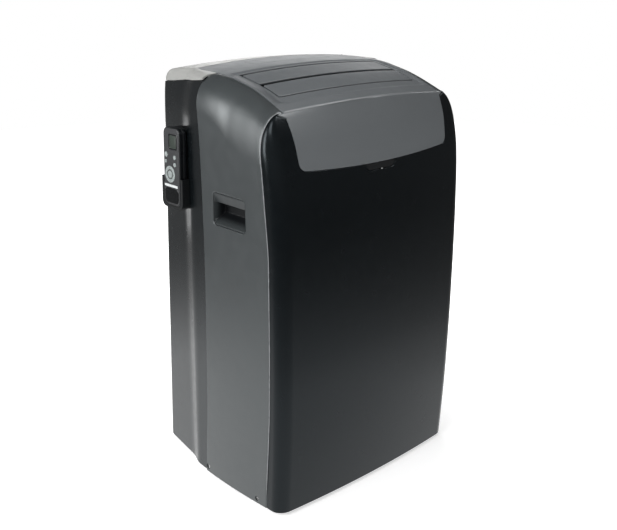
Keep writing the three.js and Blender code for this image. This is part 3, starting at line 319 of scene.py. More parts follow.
def panel(name, outer, lift, grid, body, material, holes=(), thick=3.0, sign=1, step=3.0, rings=4,
          kinds=None, hole_kinds=(), depth=None, inner=True, mirror=False):
    """A moulded panel: outer and hole outlines in a flat domain, lifted on to a surface, every edge rolled over.
    sign turns the normal; depth(a, b) is not used; grid is (list of a, list of b) of the inner points."""
    loops = []
    for li, (poly, kk) in enumerate([(outer, kinds)] + [(h, hole_kinds[i] if i < len(hole_kinds) else None) for i, h in enumerate(holes)]):
        poly, ks = dense(poly, step, kk if isinstance(kk, list) else [kk or 0] * len(poly))
        if (area2(poly) < 0) != (li > 0): poly = poly[::-1]; ks = ks[::-1][1:] + ks[::-1][:1]
        P = np.asarray(poly); prv, nxt = np.roll(P, 1, 0), np.roll(P, -1, 0)
        e1, e2 = P - prv, nxt - P
        n1 = np.stack([-e1[:, 1], e1[:, 0]], 1); n2 = np.stack([-e2[:, 1], e2[:, 0]], 1)
        n1 /= np.maximum(1e-9, np.linalg.norm(n1, axis=1))[:, None]; n2 /= np.maximum(1e-9, np.linalg.norm(n2, axis=1))[:, None]
        m = n1 + n2; m /= np.maximum(1e-9, np.linalg.norm(m, axis=1))[:, None]
        mit = 1 / np.maximum(0.6, np.sum(m * n1, axis=1)); m = m * mit[:, None]
        loops.append((P, m, ks))
    eps = 0.05

    def surf(a, b):
        p = lift(a, b)
        pa, pb = lift(a + eps, b), lift(a, b + eps); qa, qb = lift(a - eps, b), lift(a, b - eps)
        n = unit(cross([pa[i] - qa[i] for i in range(3)], [pb[i] - qb[i] for i in range(3)]))
        return p, tuple(sign * c for c in n)
    pts2, pos, nor, low, lown = [], [], [], [], []
    edges, ring0 = [], []
    for P, m, ks in loops:
        n = len(P); base = len(pts2)
        for k in range(rings + 1):
            for i in range(n):
                R, al, pull = RIM_KINDS[ks[i]]; al = math.radians(al); ph = al * (1 - k / rings)
                d = pull + R * (math.sin(al) - math.sin(ph)); h = R * (1 - math.cos(ph))
                a, b = P[i] + m[i] * d
                p, nn = surf(a, b)
                e0 = lift(P[i][0], P[i][1]); e1 = lift(P[i][0] + m[i][0] * 0.8, P[i][1] + m[i][1] * 0.8)
                E = unit([e0[j] - e1[j] for j in range(3)])
                nm = unit([math.cos(ph) * nn[j] + math.sin(ph) * E[j] for j in range(3)])
                pts2.append((float(P[i][0] + m[i][0] * (0.02 + (R if k else 0) * k / rings * 0.9 + 0.15 * k)), float(P[i][1] + m[i][1] * (0.02 + (R if k else 0) * k / rings * 0.9 + 0.15 * k))))
                pos.append(tuple(p[j] - nn[j] * h for j in range(3))); nor.append(nm)
                low.append(tuple(p[j] - nn[j] * thick for j in range(3))); lown.append(tuple(-c for c in nn))
                if k == 0: pass
            edges += [(base + k * n + i, base + k * n + (i + 1) % n) for i in range(n)]
        ring0.append((base, n))
    ga, gb = grid
    G = np.array([(a, b) for a in ga for b in gb], float)
    keep = inside(loops[0][0], G)
    for P, m, ks in loops[1:]: keep &= ~inside(P, G)
    G = G[keep]
    if len(G):
        need = np.full(len(G), 1e9)
        for P, m, ks in loops:
            rmax = max(RIM_KINDS[k][0] for k in set(ks))
            need = np.minimum(need, seg_dist(P, G) - rmax * 1.0 - 0.15 * rings - 0.9)
        G = G[need > 0]
    for a, b in G:
        p, nn = surf(float(a), float(b))
        pts2.append((float(a), float(b))); pos.append(p); nor.append(nn)
        low.append(tuple(p[j] - nn[j] * thick for j in range(3))); lown.append(tuple(-c for c in nn))
    vc, _, fc, ov, _, _ = delaunay_2d_cdt([Vector(p) for p in pts2], edges, [], 0, 1e-4)
    idx = []
    for i, o in enumerate(ov):
        if o: idx.append(o[0])
        else:
            a, b = vc[i]; p, nn = surf(a, b)
            pos.append(p); nor.append(nn); low.append(tuple(p[j] - nn[j] * thick for j in range(3))); lown.append(tuple(-c for c in nn)); idx.append(len(pos) - 1)
    cen = np.array([[sum(vc[i][0] for i in f) / len(f), sum(vc[i][1] for i in f) / len(f)] for f in fc])
    # the first rings' true outline bounds what is kept
    ok = inside([pts2[ring0[0][0] + i] for i in range(ring0[0][1])], cen)
    for base, n in ring0[1:]: ok &= ~inside([pts2[base + i] for i in range(n)], cen)
    tris = [[idx[i] for i in f] for f, k in zip(fc, ok) if k]
    # orientation: domain triangles are counterclockwise; the lifted normal decides
    out = []
    for t in tris:
        p0, p1, p2 = pos[t[0]], pos[t[1]], pos[t[2]]
        nn = cross([p1[i] - p0[i] for i in range(3)], [p2[i] - p0[i] for i in range(3)])
        g = [nor[t[0]][i] + nor[t[1]][i] + nor[t[2]][i] for i in range(3)]
        if sum(nn[i] * g[i] for i in range(3)) < 0: t = [t[0], t[2], t[1]]
        out.append(t)
    V, N, F = list(pos), list(nor), list(out)
    # walls down to the inner face
    for (base, n), (P, m, ks) in zip(ring0, loops):
        w0 = len(V)
        for i in range(n): V.append(pos[base + i]); N.append(nor[base + i])
        for i in range(n):
            V.append(low[base + i]); N.append(nor[base + i])
        for i in range(n):
            j = (i + 1) % n; q = [w0 + i, w0 + n + i, w0 + n + j, w0 + j]
            p0, p1, p2 = V[q[0]], V[q[1]], V[q[3]]
            nn = cross([p1[c] - p0[c] for c in range(3)], [p2[c] - p0[c] for c in range(3)])
            if sum(nn[c] * N[q[0]][c] for c in range(3)) < 0: q = q[::-1]
            F.append(q)
    if inner:
        b0 = len(V)
        V += low; N += lown
        for t in out:
            F.append([b0 + t[0], b0 + t[2], b0 + t[1]])
    used = sorted({i for f in F for i in f}); rm = {o: i for i, o in enumerate(used)}
    V = [V[i] for i in used]; N = [N[i] for i in used]; F = [[rm[i] for i in f] for f in F]
    if mirror:
        V = [(-x, y, z) for x, y, z in V]; N = [(-x, y, z) for x, y, z in N]; F = [f[::-1] for f in F]
    return new_object(name, V, F, body, material, normals=N)


def lin(a, b, step):
    n = max(1, int(round((b - a) / step))); return [lerp(a, b, i / n) for i in range(n + 1)]


def round_rect(a0, a1, b0, b1, r, n=8):
    pts = []
    for ca, cb, s in ((a1 - r, b1 - r, 0), (a0 + r, b1 - r, 90), (a0 + r, b0 + r, 180), (a1 - r, b0 + r, 270)):
        for i in range(n + 1):
            t = math.radians(s + 90 * i / n); pts.append((ca + r * math.cos(t), cb + r * math.sin(t)))
    return pts


# ------------------------------------------------------------------- materials
def nodes_of(name):
    m = bpy.data.materials.new(name); m.use_nodes = True
    nt = m.node_tree; nt.nodes.clear()
    out = nt.nodes.new("ShaderNodeOutputMaterial"); b = nt.nodes.new("ShaderNodeBsdfPrincipled")
    nt.links.new(b.outputs[0], out.inputs[0])
    return m, nt, b


def moulded(name, col, rough=0.38, vary=0.05, grain=900.0, bump=0.05, coat=0.0, spec=0.5, metal=0.0, mottle=14.0, scuff=0.02, ior=1.5, tint=(1, 1, 1)):
    """moulded plastic: broad colour drift, fine spark-eroded grain in bump, and roughness that wanders a little"""
    m, nt, b = nodes_of(name)
    n, L = nt.nodes, nt.links
    tc = n.new("ShaderNodeTexCoord")
    big = n.new("ShaderNodeTexNoise"); big.inputs["Scale"].default_value = mottle; big.inputs["Detail"].default_value = 4
    L.new(tc.outputs["Object"], big.inputs["Vector"])
    ramp = n.new("ShaderNodeValToRGB")
    ramp.color_ramp.elements[0].position = 0.3; ramp.color_ramp.elements[1].position = 0.7
    ramp.color_ramp.elements[0].color = tuple(c * (1 - vary) for c in col) + (1,)
    ramp.color_ramp.elements[1].color = tuple(min(1, c * (1 + vary)) for c in col) + (1,)
    L.new(big.outputs[0], ramp.inputs[0])
    geo = n.new("ShaderNodeNewGeometry")
    edge = n.new("ShaderNodeValToRGB"); edge.color_ramp.elements[0].position = 0.52; edge.color_ramp.elements[1].position = 0.62
    L.new(geo.outputs["Pointiness"], edge.inputs[0])
    mix = n.new("ShaderNodeMixRGB"); mix.blend_type = "MIX"
    mul = n.new("ShaderNodeMath"); mul.operation = "MULTIPLY"; mul.inputs[1].default_value = scuff * 6
    L.new(edge.outputs[0], mul.inputs[0]); L.new(mul.outputs[0], mix.inputs[0])
    L.new(ramp.outputs[0], mix.inputs[1]); mix.inputs[2].default_value = tuple(min(1, c * 1.7 + 0.02) for c in col) + (1,)
    L.new(mix.outputs[0], b.inputs["Base Color"])
    fine = n.new("ShaderNodeTexNoise"); fine.inputs["Scale"].default_value = grain; fine.inputs["Detail"].default_value = 2
    L.new(tc.outputs["Object"], fine.inputs["Vector"])
    bp = n.new("ShaderNodeBump"); bp.inputs["Strength"].default_value = bump; bp.inputs["Distance"].default_value = 0.0004
    L.new(fine.outputs[0], bp.inputs["Height"]); L.new(bp.outputs[0], b.inputs["Normal"])
    mr = n.new("ShaderNodeMapRange"); mr.inputs["From Min"].default_value = 0.3; mr.inputs["From Max"].default_value = 0.7
    mr.inputs["To Min"].default_value = max(0.02, rough - 0.035); mr.inputs["To Max"].default_value = rough + 0.035
    med = n.new("ShaderNodeTexNoise"); med.inputs["Scale"].default_value = 55; med.inputs["Detail"].default_value = 5
    L.new(tc.outputs["Object"], med.inputs["Vector"]); L.new(med.outputs[0], mr.inputs["Value"]); L.new(mr.outputs[0], b.inputs["Roughness"])
    b.inputs["Metallic"].default_value = metal; b.inputs["Specular IOR Level"].default_value = spec
    b.inputs["IOR"].default_value = ior; b.inputs["Specular Tint"].default_value = tuple(tint) + (1,)
    if coat: b.inputs["Coat Weight"].default_value = coat; b.inputs["Coat Roughness"].default_value = 0.08
    return m


M = {
    "black": moulded("black_panel", (0.0014, 0.0022, 0.0028), rough=0.24, vary=0.12, bump=0.02, coat=0.0, scuff=0.0, spec=0.26, tint=(0.82, 0.93, 1.0)),
    "grey": moulded("grey_shell", (0.020, 0.0236, 0.0252), rough=0.36, vary=0.04, bump=0.035, spec=0.92, scuff=0.0, tint=(0.94, 0.99, 1.0)),
    "fascia": moulded("grey_fascia", (0.106, 0.1155, 0.122), rough=0.42, vary=0.025, bump=0.04, spec=0.6, scuff=0.0),
    "deck": moulded("grey_deck", (0.080, 0.088, 0.094), rough=0.46, vary=0.025, bump=0.05, spec=0.6, scuff=0.0),
    "cap": moulded("light_cap", (0.25, 0.252, 0.243), rough=0.40, vary=0.03, bump=0.04, spec=0.5),
    "rear": moulded("rear_shell", (0.0015, 0.0024, 0.0030), rough=0.24, vary=0.12, bump=0.02, scuff=0.0, tint=(0.86, 0.95, 1.0)),
    "grip": moulded("grip_pocket", (0.02, 0.0225, 0.023), rough=0.34, vary=0.06, bump=0.05, spec=0.8),
    "dark": moulded("dark_plastic", (0.003, 0.0038, 0.0044), rough=0.45, vary=0.12, bump=0.12, spec=0.35),
    "duct": moulded("duct_plastic", (0.02, 0.021, 0.022), rough=0.5, vary=0.12, bump=0.1),
    "window": moulded("window_gloss", (0.001, 0.0018, 0.0026), rough=0.05, vary=0.1, bump=0.0, coat=0.3),
    "white": moulded("white_plastic", (0.6, 0.6, 0.58), rough=0.45, vary=0.04, bump=0.06),
    "key": moulded("key_grey", (0.21, 0.235, 0.232), rough=0.42, vary=0.05, bump=0.05),
    "keydark": moulded("key_ring_dark", (0.05, 0.055, 0.055), rough=0.4, vary=0.06, bump=0.05),
    "label": moulded("label_strip", (0.47, 0.49, 0.49), rough=0.4, vary=0.04, bump=0.02),
    "display": moulded("display_glass", (0.022, 0.030, 0.024), rough=0.42, vary=0.06, bump=0.0, spec=0.35),
    "remote": moulded("remote_shell", (0.004, 0.005, 0.006), rough=0.3, vary=0.08, bump=0.03),
    "remface": moulded("remote_face", (0.026, 0.027, 0.029), rough=0.38, vary=0.06, bump=0.03),
    "remgloss": moulded("remote_gloss", (0.002, 0.0025, 0.003), rough=0.1, vary=0.1, bump=0.0, coat=0.2),
    "alu": moulded("fin_aluminium", (0.55, 0.56, 0.57), rough=0.35, vary=0.08, bump=0.1, metal=0.9),
    "copper": moulded("copper_tube", (0.55, 0.24, 0.12), rough=0.28, vary=0.15, bump=0.05, metal=1.0),
    "steel": moulded("zinc_steel", (0.42, 0.42, 0.42), rough=0.33, vary=0.08, bump=0.08, metal=0.9),
    "screw": moulded("screw_steel", (0.5, 0.5, 0.5), rough=0.25, vary=0.08, bump=0.05, metal=0.9),
    "paint": moulded("black_paint", (0.01, 0.01, 0.011), rough=0.3, vary=0.1, bump=0.05, coat=0.3),
    "board": moulded("board_green", (0.02, 0.08, 0.03), rough=0.4, vary=0.2, bump=0.1),
    "rubber": moulded("tread_rubber", (0.012, 0.012, 0.013), rough=0.7, vary=0.15, bump=0.25, mottle=60),
    "hub": moulded("wheel_hub", (0.25, 0.25, 0.25), rough=0.45, vary=0.06, bump=0.06),
    "net": moulded("filter_net", (0.018, 0.019, 0.02), rough=0.8, vary=0.3, bump=0.5, grain=2500),
}
# painted highlight: a light grey bead stands in for the bright highlight on the front seam's rounded edge
M["trim"] = moulded("seam_trim", (0.215, 0.222, 0.233), rough=0.28, vary=0.04, bump=0.01, spec=0.8, scuff=0.0)
M["pocket"] = moulded("grip_pocket_skin", (0.023, 0.0268, 0.0282), rough=0.36, vary=0.04, bump=0.035, spec=0.6, scuff=0.0)
def paint_shade_inward(m, dark, x0, x1):
    """painted shade: fade to a dark tone between two distances from the unit's middle plane, in metres, darker further
    in
    """
    nt = m.node_tree; n, L = nt.nodes, nt.links; b = n["Principled BSDF"]
    src = b.inputs["Base Color"].links[0].from_socket
    tc = n.new("ShaderNodeTexCoord"); sx = n.new("ShaderNodeSeparateXYZ"); ab = n.new("ShaderNodeMath"); ab.operation = "ABSOLUTE"
    mr = n.new("ShaderNodeMapRange"); mr.inputs["From Min"].default_value = x0; mr.inputs["From Max"].default_value = x1
    mx = n.new("ShaderNodeMixRGB"); mx.inputs[2].default_value = dark + (1,)
    L.new(tc.outputs["Object"], sx.inputs[0]); L.new(sx.outputs[0], ab.inputs[0]); L.new(ab.outputs[0], mr.inputs["Value"])
    L.new(mr.outputs[0], mx.inputs[0]); L.new(src, mx.inputs[1]); L.new(mx.outputs[0], b.inputs["Base Color"])
    b.inputs["Specular IOR Level"].default_value = 0.3
# painted shade: the grip pocket's colour darkens towards the back of the recess
paint_shade_inward(M["pocket"], (0.0035, 0.0042, 0.005), 0.2235, 0.214)
LOOK = {
    "base_pan": "dark", "front_panel": "black", "fascia_panel": "fascia", "signal_window": "window", "left_side_shell": "grey",
    "right_side_shell": "grey", "left_grip_cup": "dark", "right_grip_cup": "dark", "top_cover": "deck", "rear_cap": "cap",
    "rear_housing": "rear", "front_flap": "deck", "rear_flap": "deck", "outlet_duct": "dark", "swing_motor": "white",
    "control_panel": "deck", "upper_filter": "rear", "lower_filter": "rear", "exhaust_collar": "dark", "evaporator_coil": "alu",
    "condenser_coil": "alu", "evaporator_wheel": "dark", "evaporator_scroll": "white", "evaporator_motor": "steel",
    "condenser_wheel": "dark", "condenser_scroll": "white", "condenser_motor": "steel", "compressor": "paint",
    "suction_accumulator": "paint", "discharge_pipe": "copper", "suction_pipe": "copper", "electrical_box": "steel",
    "control_board": "board", "drain_tray": "white", "drain_plug": "dark", "cord_gland": "dark", "remote_cradle": "dark",
    "remote_body": "remote", "remote_display": "display", "remote_power_key": "key", "remote_key_1": "key",
    "remote_key_2": "key", "remote_key_3": "key", "remote_dial_pad": "key",
}
for name, ob in NODES.items():
    if name.startswith("caster_wheel"): look = "rubber"
    elif name.startswith("caster_fork") or name.endswith("_screw"): look = "steel"
    elif name.startswith("outlet_vane"): look = "dark"
    else: look = LOOK[name]
    ob.data.materials.clear(); ob.data.materials.append(M[look])

# ---------------------------------------------------------------- camera, light
WALL_BACK, WALL_FRONT, FLOOR_LIFT = 0.07, 0.42, 0.60
# painted glow on the floor for reflections: distance in metres and emission strength
FLOOR_PAINTED_GLOW = ((0.0, 1.3), (3.0, 0.14), (0.6, 1.25), (0.85, 0.82), (1.05, 0.54), (1.25, 0.38), (1.5, 0.27), (2.0, 0.18))
LIGHTS = (  # name, bearing, height, distance, size, power
    ("back_left", -65, 13, 2.4, 0.85, 27, {"size_y": 1.2}),
    ("top_soft", -20, 76, 2.2, 1.6, 38, {"glossy": False}),
    ("front_left", -108, 30, 1.9, 0.8, 16, {"glossy": False}),
    ("rim", -112, 44, 2.4, 1.2, 22, {"diffuse": False}),
    ("crease", 134, 58, 2.4, 1.0, 40, {"diffuse": False}),
    ("back_right", 42, 17, 2.6, 1.3, 7.6, {"size_y": 0.5}),
    ("strip", 0, -9, 1.6, 0.45, 0.5, {"size_y": 0.4, "diffuse": False}),
)
def look(ob, az, el, roll=0.0):
    back = Vector((math.sin(az) * math.cos(el), -math.cos(az) * math.cos(el), math.sin(el)))
    fwd = -back; right = fwd.cross(Vector((0, 0, 1))).normalized(); up = right.cross(fwd)
    ob.matrix_world = Matrix.Translation(ob.location) @ Matrix((right, up, back)).transposed().to_4x4()


cam_data = bpy.data.cameras.new("camera"); cam = bpy.data.objects.new("camera", cam_data); scene.collection.objects.link(cam)
cam_data.sensor_width = 36.0; cam_data.lens = 880.36 / 617 * 36.0; cam_data.clip_end = 50
cam.location = (-1.09355, -1.20863, 0.94154)
look(cam, math.radians(-42.447), math.radians(18.917))
scene.camera = cam

world = bpy.data.worlds.new("world"); scene.world = world; world.use_nodes = True
wt = world.node_tree; wt.nodes.clear()
wo = wt.nodes.new("ShaderNodeOutputWorld"); wm = wt.nodes.new("ShaderNodeMixShader"); lp = wt.nodes.new("ShaderNodeLightPath")
bg1 = wt.nodes.new("ShaderNodeBackground"); bg1.inputs[1].default_value = 1.0
bg2 = wt.nodes.new("ShaderNodeBackground"); bg2.inputs[0].default_value = (1, 1, 1, 1); bg2.inputs[1].default_value = 1.0
# the studio's walls: dim behind, a little lighter in front
wc = wt.nodes.new("ShaderNodeTexCoord"); wd = wt.nodes.new("ShaderNodeVectorMath"); wd.operation = "DOT_PRODUCT"
wd.inputs[1].default_value = (-0.86, -0.5, 0.0)
wr = wt.nodes.new("ShaderNodeMapRange"); wr.inputs["From Min"].default_value = -1; wr.inputs["From Max"].default_value = 1
wr.inputs["To Min"].default_value = WALL_BACK; wr.inputs["To Max"].default_value = WALL_FRONT
wt.links.new(wc.outputs["Generated"], wd.inputs[0]); wt.links.new(wd.outputs["Value"], wr.inputs["Value"]); wt.links.new(wr.outputs[0], bg1.inputs[0])
wt.links.new(lp.outputs["Is Camera Ray"], wm.inputs[0]); wt.links.new(bg1.outputs[0], wm.inputs[1]); wt.links.new(bg2.outputs[0], wm.inputs[2])
wt.links.new(wm.outputs[0], wo.inputs[0])


def area(name, az, el, dist, size, power, size_y=None, glossy=True, diffuse=True, target=(0, 0, 0.5)):
    """a softbox seen from the object at a compass bearing (0 is straight back, 90 is right) and height, in degrees"""
    d = bpy.data.lights.new(name, "AREA"); d.energy = power; d.size = size
    if size_y: d.shape = "RECTANGLE"; d.size_y = size_y
    o = bpy.data.objects.new(name, d); scene.collection.objects.link(o)
    a, e = math.radians(az), math.radians(el)
    o.location = Vector(target) + dist * Vector((math.sin(a) * math.cos(e), math.cos(a) * math.cos(e), math.sin(e)))
    o.rotation_euler = (Vector(target) - o.location).to_track_quat("-Z", "Y").to_euler()
    o.visible_camera = False; o.visible_glossy = glossy; o.visible_diffuse = diffuse
    return o


for spec in LIGHTS: area(*spec[:-1], **spec[-1])

floor_mesh = bpy.data.meshes.new("floor"); bm = bmesh.new()
bmesh.ops.create_circle(bm, cap_ends=True, radius=4.0, segments=96); bm.to_mesh(floor_mesh); bm.free()
floor = bpy.data.objects.new("floor", floor_mesh); scene.collection.objects.link(floor)
fm, fnt, fb = nodes_of("pale_floor")
fb.inputs["Base Color"].default_value = (0.9, 0.9, 0.9, 1); fb.inputs["Roughness"].default_value = 0.9
fb.inputs["Specular IOR Level"].default_value = 0.0
fb.inputs["Emission Color"].default_value = (1, 1, 1, 1); fb.inputs["Emission Strength"].default_value = FLOOR_LIFT
# painted glow: glossy rays see the floor as an emitter that is bright near the unit and dims away from it
ft = fnt.nodes.new("ShaderNodeTexCoord"); fl = fnt.nodes.new("ShaderNodeVectorMath"); fl.operation = "LENGTH"
fr = fnt.nodes.new("ShaderNodeMapRange"); fr.inputs["From Max"].default_value = 3.0
fc = fnt.nodes.new("ShaderNodeValToRGB"); fe = fnt.nodes.new("ShaderNodeEmission"); fe.inputs[1].default_value = 1.5
fx_ = fnt.nodes.new("ShaderNodeMixShader"); fp = fnt.nodes.new("ShaderNodeLightPath")
for k, (r, v) in enumerate(FLOOR_PAINTED_GLOW):
    e = fc.color_ramp.elements[k] if k < 2 else fc.color_ramp.elements.new(r / 3.0)
    e.position = r / 3.0; e.color = (v / 1.5, v / 1.5, v / 1.5, 1)
fo_ = fnt.nodes.new("ShaderNodeVectorMath"); fo_.operation = "SUBTRACT"; fo_.inputs[1].default_value = (-0.10, 0.03, 0.0)
fg = fnt.nodes.new("ShaderNodeVectorMath"); fg.operation = "LENGTH"
fnt.links.new(ft.outputs["Object"], fo_.inputs[0]); fnt.links.new(fo_.outputs[0], fg.inputs[0])
fnt.links.new(ft.outputs["Object"], fl.inputs[0]); fnt.links.new(fg.outputs["Value"], fr.inputs["Value"]); fnt.links.new(fr.outputs[0], fc.inputs[0])
fnt.links.new(fc.outputs[0], fe.inputs[0])
fnt.links.new(fp.outputs["Is Glossy Ray"], fx_.inputs[0]); fnt.links.new(fb.outputs[0], fx_.inputs[1]); fnt.links.new(fe.outputs[0], fx_.inputs[2])
fs = fnt.nodes.new("ShaderNodeMapRange"); fs.inputs["From Min"].default_value = 0.32; fs.inputs["From Max"].default_value = 0.75
fs.inputs["To Min"].default_value = FLOOR_LIFT; fs.inputs["To Max"].default_value = 1.05
fnt.links.new(fl.outputs["Value"], fs.inputs["Value"]); fnt.links.new(fs.outputs[0], fb.inputs["Emission Strength"])
fnt.links.new(fx_.outputs[0], fnt.nodes["Material Output"].inputs[0])
floor.data.materials.append(fm)
scene.view_settings.view_transform = "Standard"
scene.view_settings.look = "None"

# ------------------------------------------------------------------ front panel
def fascia_low(x): return 621 + 8 * (x / 181.0) ** 2
def fascia_outline(g=0.0):
    """left edge from the crease down, along the bowed lower edge, and up the right one, in x and z"""
    L = []
    zb = fascia_low(166) - g
    side = [(-187.3 - g + 6.7 * t, lerp(CREASE_Z, zb + 15, t)) for t in [i / 10 for i in range(11)]]
    L += side[:-1]
    xc = side[-1][0] + 15
    for i in range(9):
        t = math.radians(180 + 90 * i / 8); L.append((xc + 15 * math.cos(t), zb + 15 + 15 * math.sin(t)))
    for x in lin(-155, 155, 10): L.append((x, fascia_low(x) - g))
    R = [(-x, z) for x, z in L[: len(side) - 1 + 9]][::-1]
    return L + R
W_OUT = [(-36, 619.5), (-34.5, 614.5), (-31, 610.6), (-25, 608.6), (25, 608.6), (31, 610.6), (34.5, 614.5), (36, 619.5)]
def to_az(pts): return [(a_of_x(x, z), z) for x, z in pts]
fo = fascia_outline(SEAM * 0.6)
# the notch for the signal window breaks the lower edge
low = []
for x, z in fo:
    if abs(x) < 36.5 and z < 640:
        if not low or low[-1] != "notch": low.append("notch")
    else: low.append((x, z))
path = []
for q in low:
    if q == "notch": path += [(-36.4, fascia_low(36) - 0.3)] + [(x * 1.012, z - 0.35) for x, z in W_OUT] + [(36.4, fascia_low(36) - 0.3)]
    else: path.append(q)
path = to_az(path)
BR = 14.0   # lower corner rounding meant for the front panel; the outline below cuts its corners by only 2 mm
outer = [(-A3, z) for z in lin(CREASE_Z, SKIRT_Z + 2, 6)] + [(-A3 + 2, SKIRT_Z)] + [(a, SKIRT_Z) for a in lin(-A3 + 8, A3 - 8, 8)] + [(A3 - 2, SKIRT_Z)]
outer += [(A3, z) for z in lin(SKIRT_Z + 2, CREASE_Z, 6)]
outer += [(a, CREASE_Z) for a in lin(A3 - 6, path[-1][0] + 5, 6)] + path[::-1] + [(a, CREASE_Z) for a in lin(path[0][0] - 5, -A3 + 6, 6)]
ga = sorted(set([round(v, 3) for v in lin(-A1, A1, 9)] + [round(s * (A1 + k * 2.6), 3) for s in (-1, 1) for k in range(1, 21)]))
gz = lin(12, 600, 12) + lin(606, 717, 4.5)
rims = [5 if (abs(p[0]) > A3 - 0.1 and abs(q[0]) > A3 - 0.1) else 0 for p, q in zip(outer, outer[1:] + outer[:1])]
panel("front_panel_skin", outer, front_az, (ga, gz), "cabinet", M["black"], sign=1, step=3.0, kinds=rims)
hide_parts("front_panel")

fin = to_az(fascia_outline(-SEAM * 0.3))
kinds = [0] * (len(fin) - 1) + [1]
fgrid = (lin(-200, 200, 8), lin(625, 716, 4.5))
panel("fascia_skin", fin, front_az, fgrid, "cabinet", M["fascia"], sign=1, step=3.0, kinds=kinds)
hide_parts("fascia_panel")
wpoly = to_az([(-35.6, fascia_low(35) - 0.9)] + [(x * 0.99, z + 0.2) for x, z in W_OUT] + [(35.6, fascia_low(35) - 0.9)] + [(x, fascia_low(x) - 0.9) for x in lin(30, -30, 6)])
panel("signal_window_skin", wpoly, lambda a, z: tuple(np.add(front_az(a, z), (0, 1.3, 0))), (lin(-33, 33, 4), lin(610, 620, 3)), "cabinet", M["window"], sign=1, step=1.5, kinds=3)
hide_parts("signal_window")

# ------------------------------------------------------------------ side shells
GRIP = (-110.0, -22.0, 517.0, 574.0)
SCREWS = ((-125.0, 17.5), (20.0, 20.0))
ps = lin(0, P1, 6) + lin(P1 + 3, P1 + P2, 3)
edge_f = [(side_front_y(s_of_p(p)) + SEAM / 2, p) for p in ps]
edge_r = [(side_rear_y(s_of_p(p)), p) for p in ps]
outer = [(y, 0.0) for y in lin(edge_f[0][0], edge_r[0][0], 6)] + edge_r[1:] + [(y, P1 + P2) for y in lin(edge_r[-1][0], edge_f[-1][0], 5)][1:] + edge_f[::-1][1:-1]
grip = [(y, p_of_z(y, z)) for y, z in dense(round_rect(GRIP[0], GRIP[1], GRIP[2], GRIP[3], 8), 2.5)[0]]
holes = [grip] + [[(y + r * math.cos(t), p_of_z(y, z) + r * math.sin(t)) for t in [2 * math.pi * i / 24 for i in range(24)]] for (y, z), r in zip(SCREWS, (4.3, 5.0))]
grid = (lin(-170, 30, 6), lin(4, P1, 10) + lin(P1 + 3, P1 + P2 - 2, 3))
for nm, mir in (("left", False), ("right", True)):
    panel(nm + "_shell_skin", outer, side_yp, grid, "cabinet", M["grey"], holes=holes, hole_kinds=(2, 3, 3), sign=-1, step=2.5, mirror=mir,
          kinds=[0] * (len(outer) - len(edge_f) + 1) + [6] * (len(edge_f) - 1))
    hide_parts(nm + "_side_shell")

# path of the painted highlight bead along the side shells' front edge
SEAM_HIGHLIGHT_PATH = [side_yp(side_front_y(s_of_p(q)) + 0.1, q) for q in lin(30, P1 + P2 - 3, 5)]

# ------------------------------------------------------------------------ deck
FLAP_HALF, FLAP_FRONT, FLAP_REAR = 161.0, (-117.2, -75.5), (-68.0, -22.0)
Y0 = -159 + 0.2
edge = [(-deck_edge(y) + SEAM / 2, y) for y in lin(Y0, DECK_BACK_Y, 6)]
outer = [(x, Y0) for x in lin(-CREASE_X + 0.6, CREASE_X - 0.6, 6)] + [(-x, y) for x, y in edge[1:]] + [(x, DECK_BACK_Y) for x in lin(183, -183, 6)] + edge[::-1][:-1]
kinds = [8] + [7] * (len(lin(-CREASE_X + 0.6, CREASE_X - 0.6, 6)) - 3) + [8] + [0] * 999
kinds = kinds[: len(outer)]
hole = round_rect(-164, 164, -119, -16, 5)
PANEL = (-92.0, 92.0, 24.0, 62.0)
ph = round_rect(PANEL[0], PANEL[1], PANEL[2], PANEL[3], 8)
# the CAD seat is cut straight down, so its outline is given in the deck's own lines
def nominal(x, y):
    yn = y
    for _ in range(20): yn += (y - deck_raw(x, yn)[1])
    return (x, yn)
ph = [nominal(x, y) for x, y in dense(ph, 4)[0]]
grid = (lin(-186, 186, 6), lin(-156, 80, 4))
panel("deck_skin", outer, deck, grid, "cabinet", M["deck"], holes=[hole, ph], hole_kinds=(0, 3), sign=1, step=3.0, kinds=kinds)
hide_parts("top_cover")
pin = [nominal(x, y) for x, y in dense(round_rect(PANEL[0] + 0.35, PANEL[1] - 0.35, PANEL[2] + 0.35, PANEL[3] - 0.35, 7.7), 4)[0]]
panel("control_panel_skin", pin, deck, (lin(-90, 90, 6), lin(26, 62, 4)), "cabinet", M["deck"], sign=1, step=3.0, kinds=3, thick=2.4)
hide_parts("control_panel")
for nm, (y0, y1) in (("front_flap", FLAP_FRONT), ("rear_flap", FLAP_REAR)):
    panel(nm + "_skin", round_rect(-FLAP_HALF, FLAP_HALF, y0, y1, 4), deck, (lin(-158, 158, 6), lin(y0 + 3, y1 - 3, 4)), nm, M["deck"], sign=1, step=2.5, thick=2.8)
    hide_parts(nm)

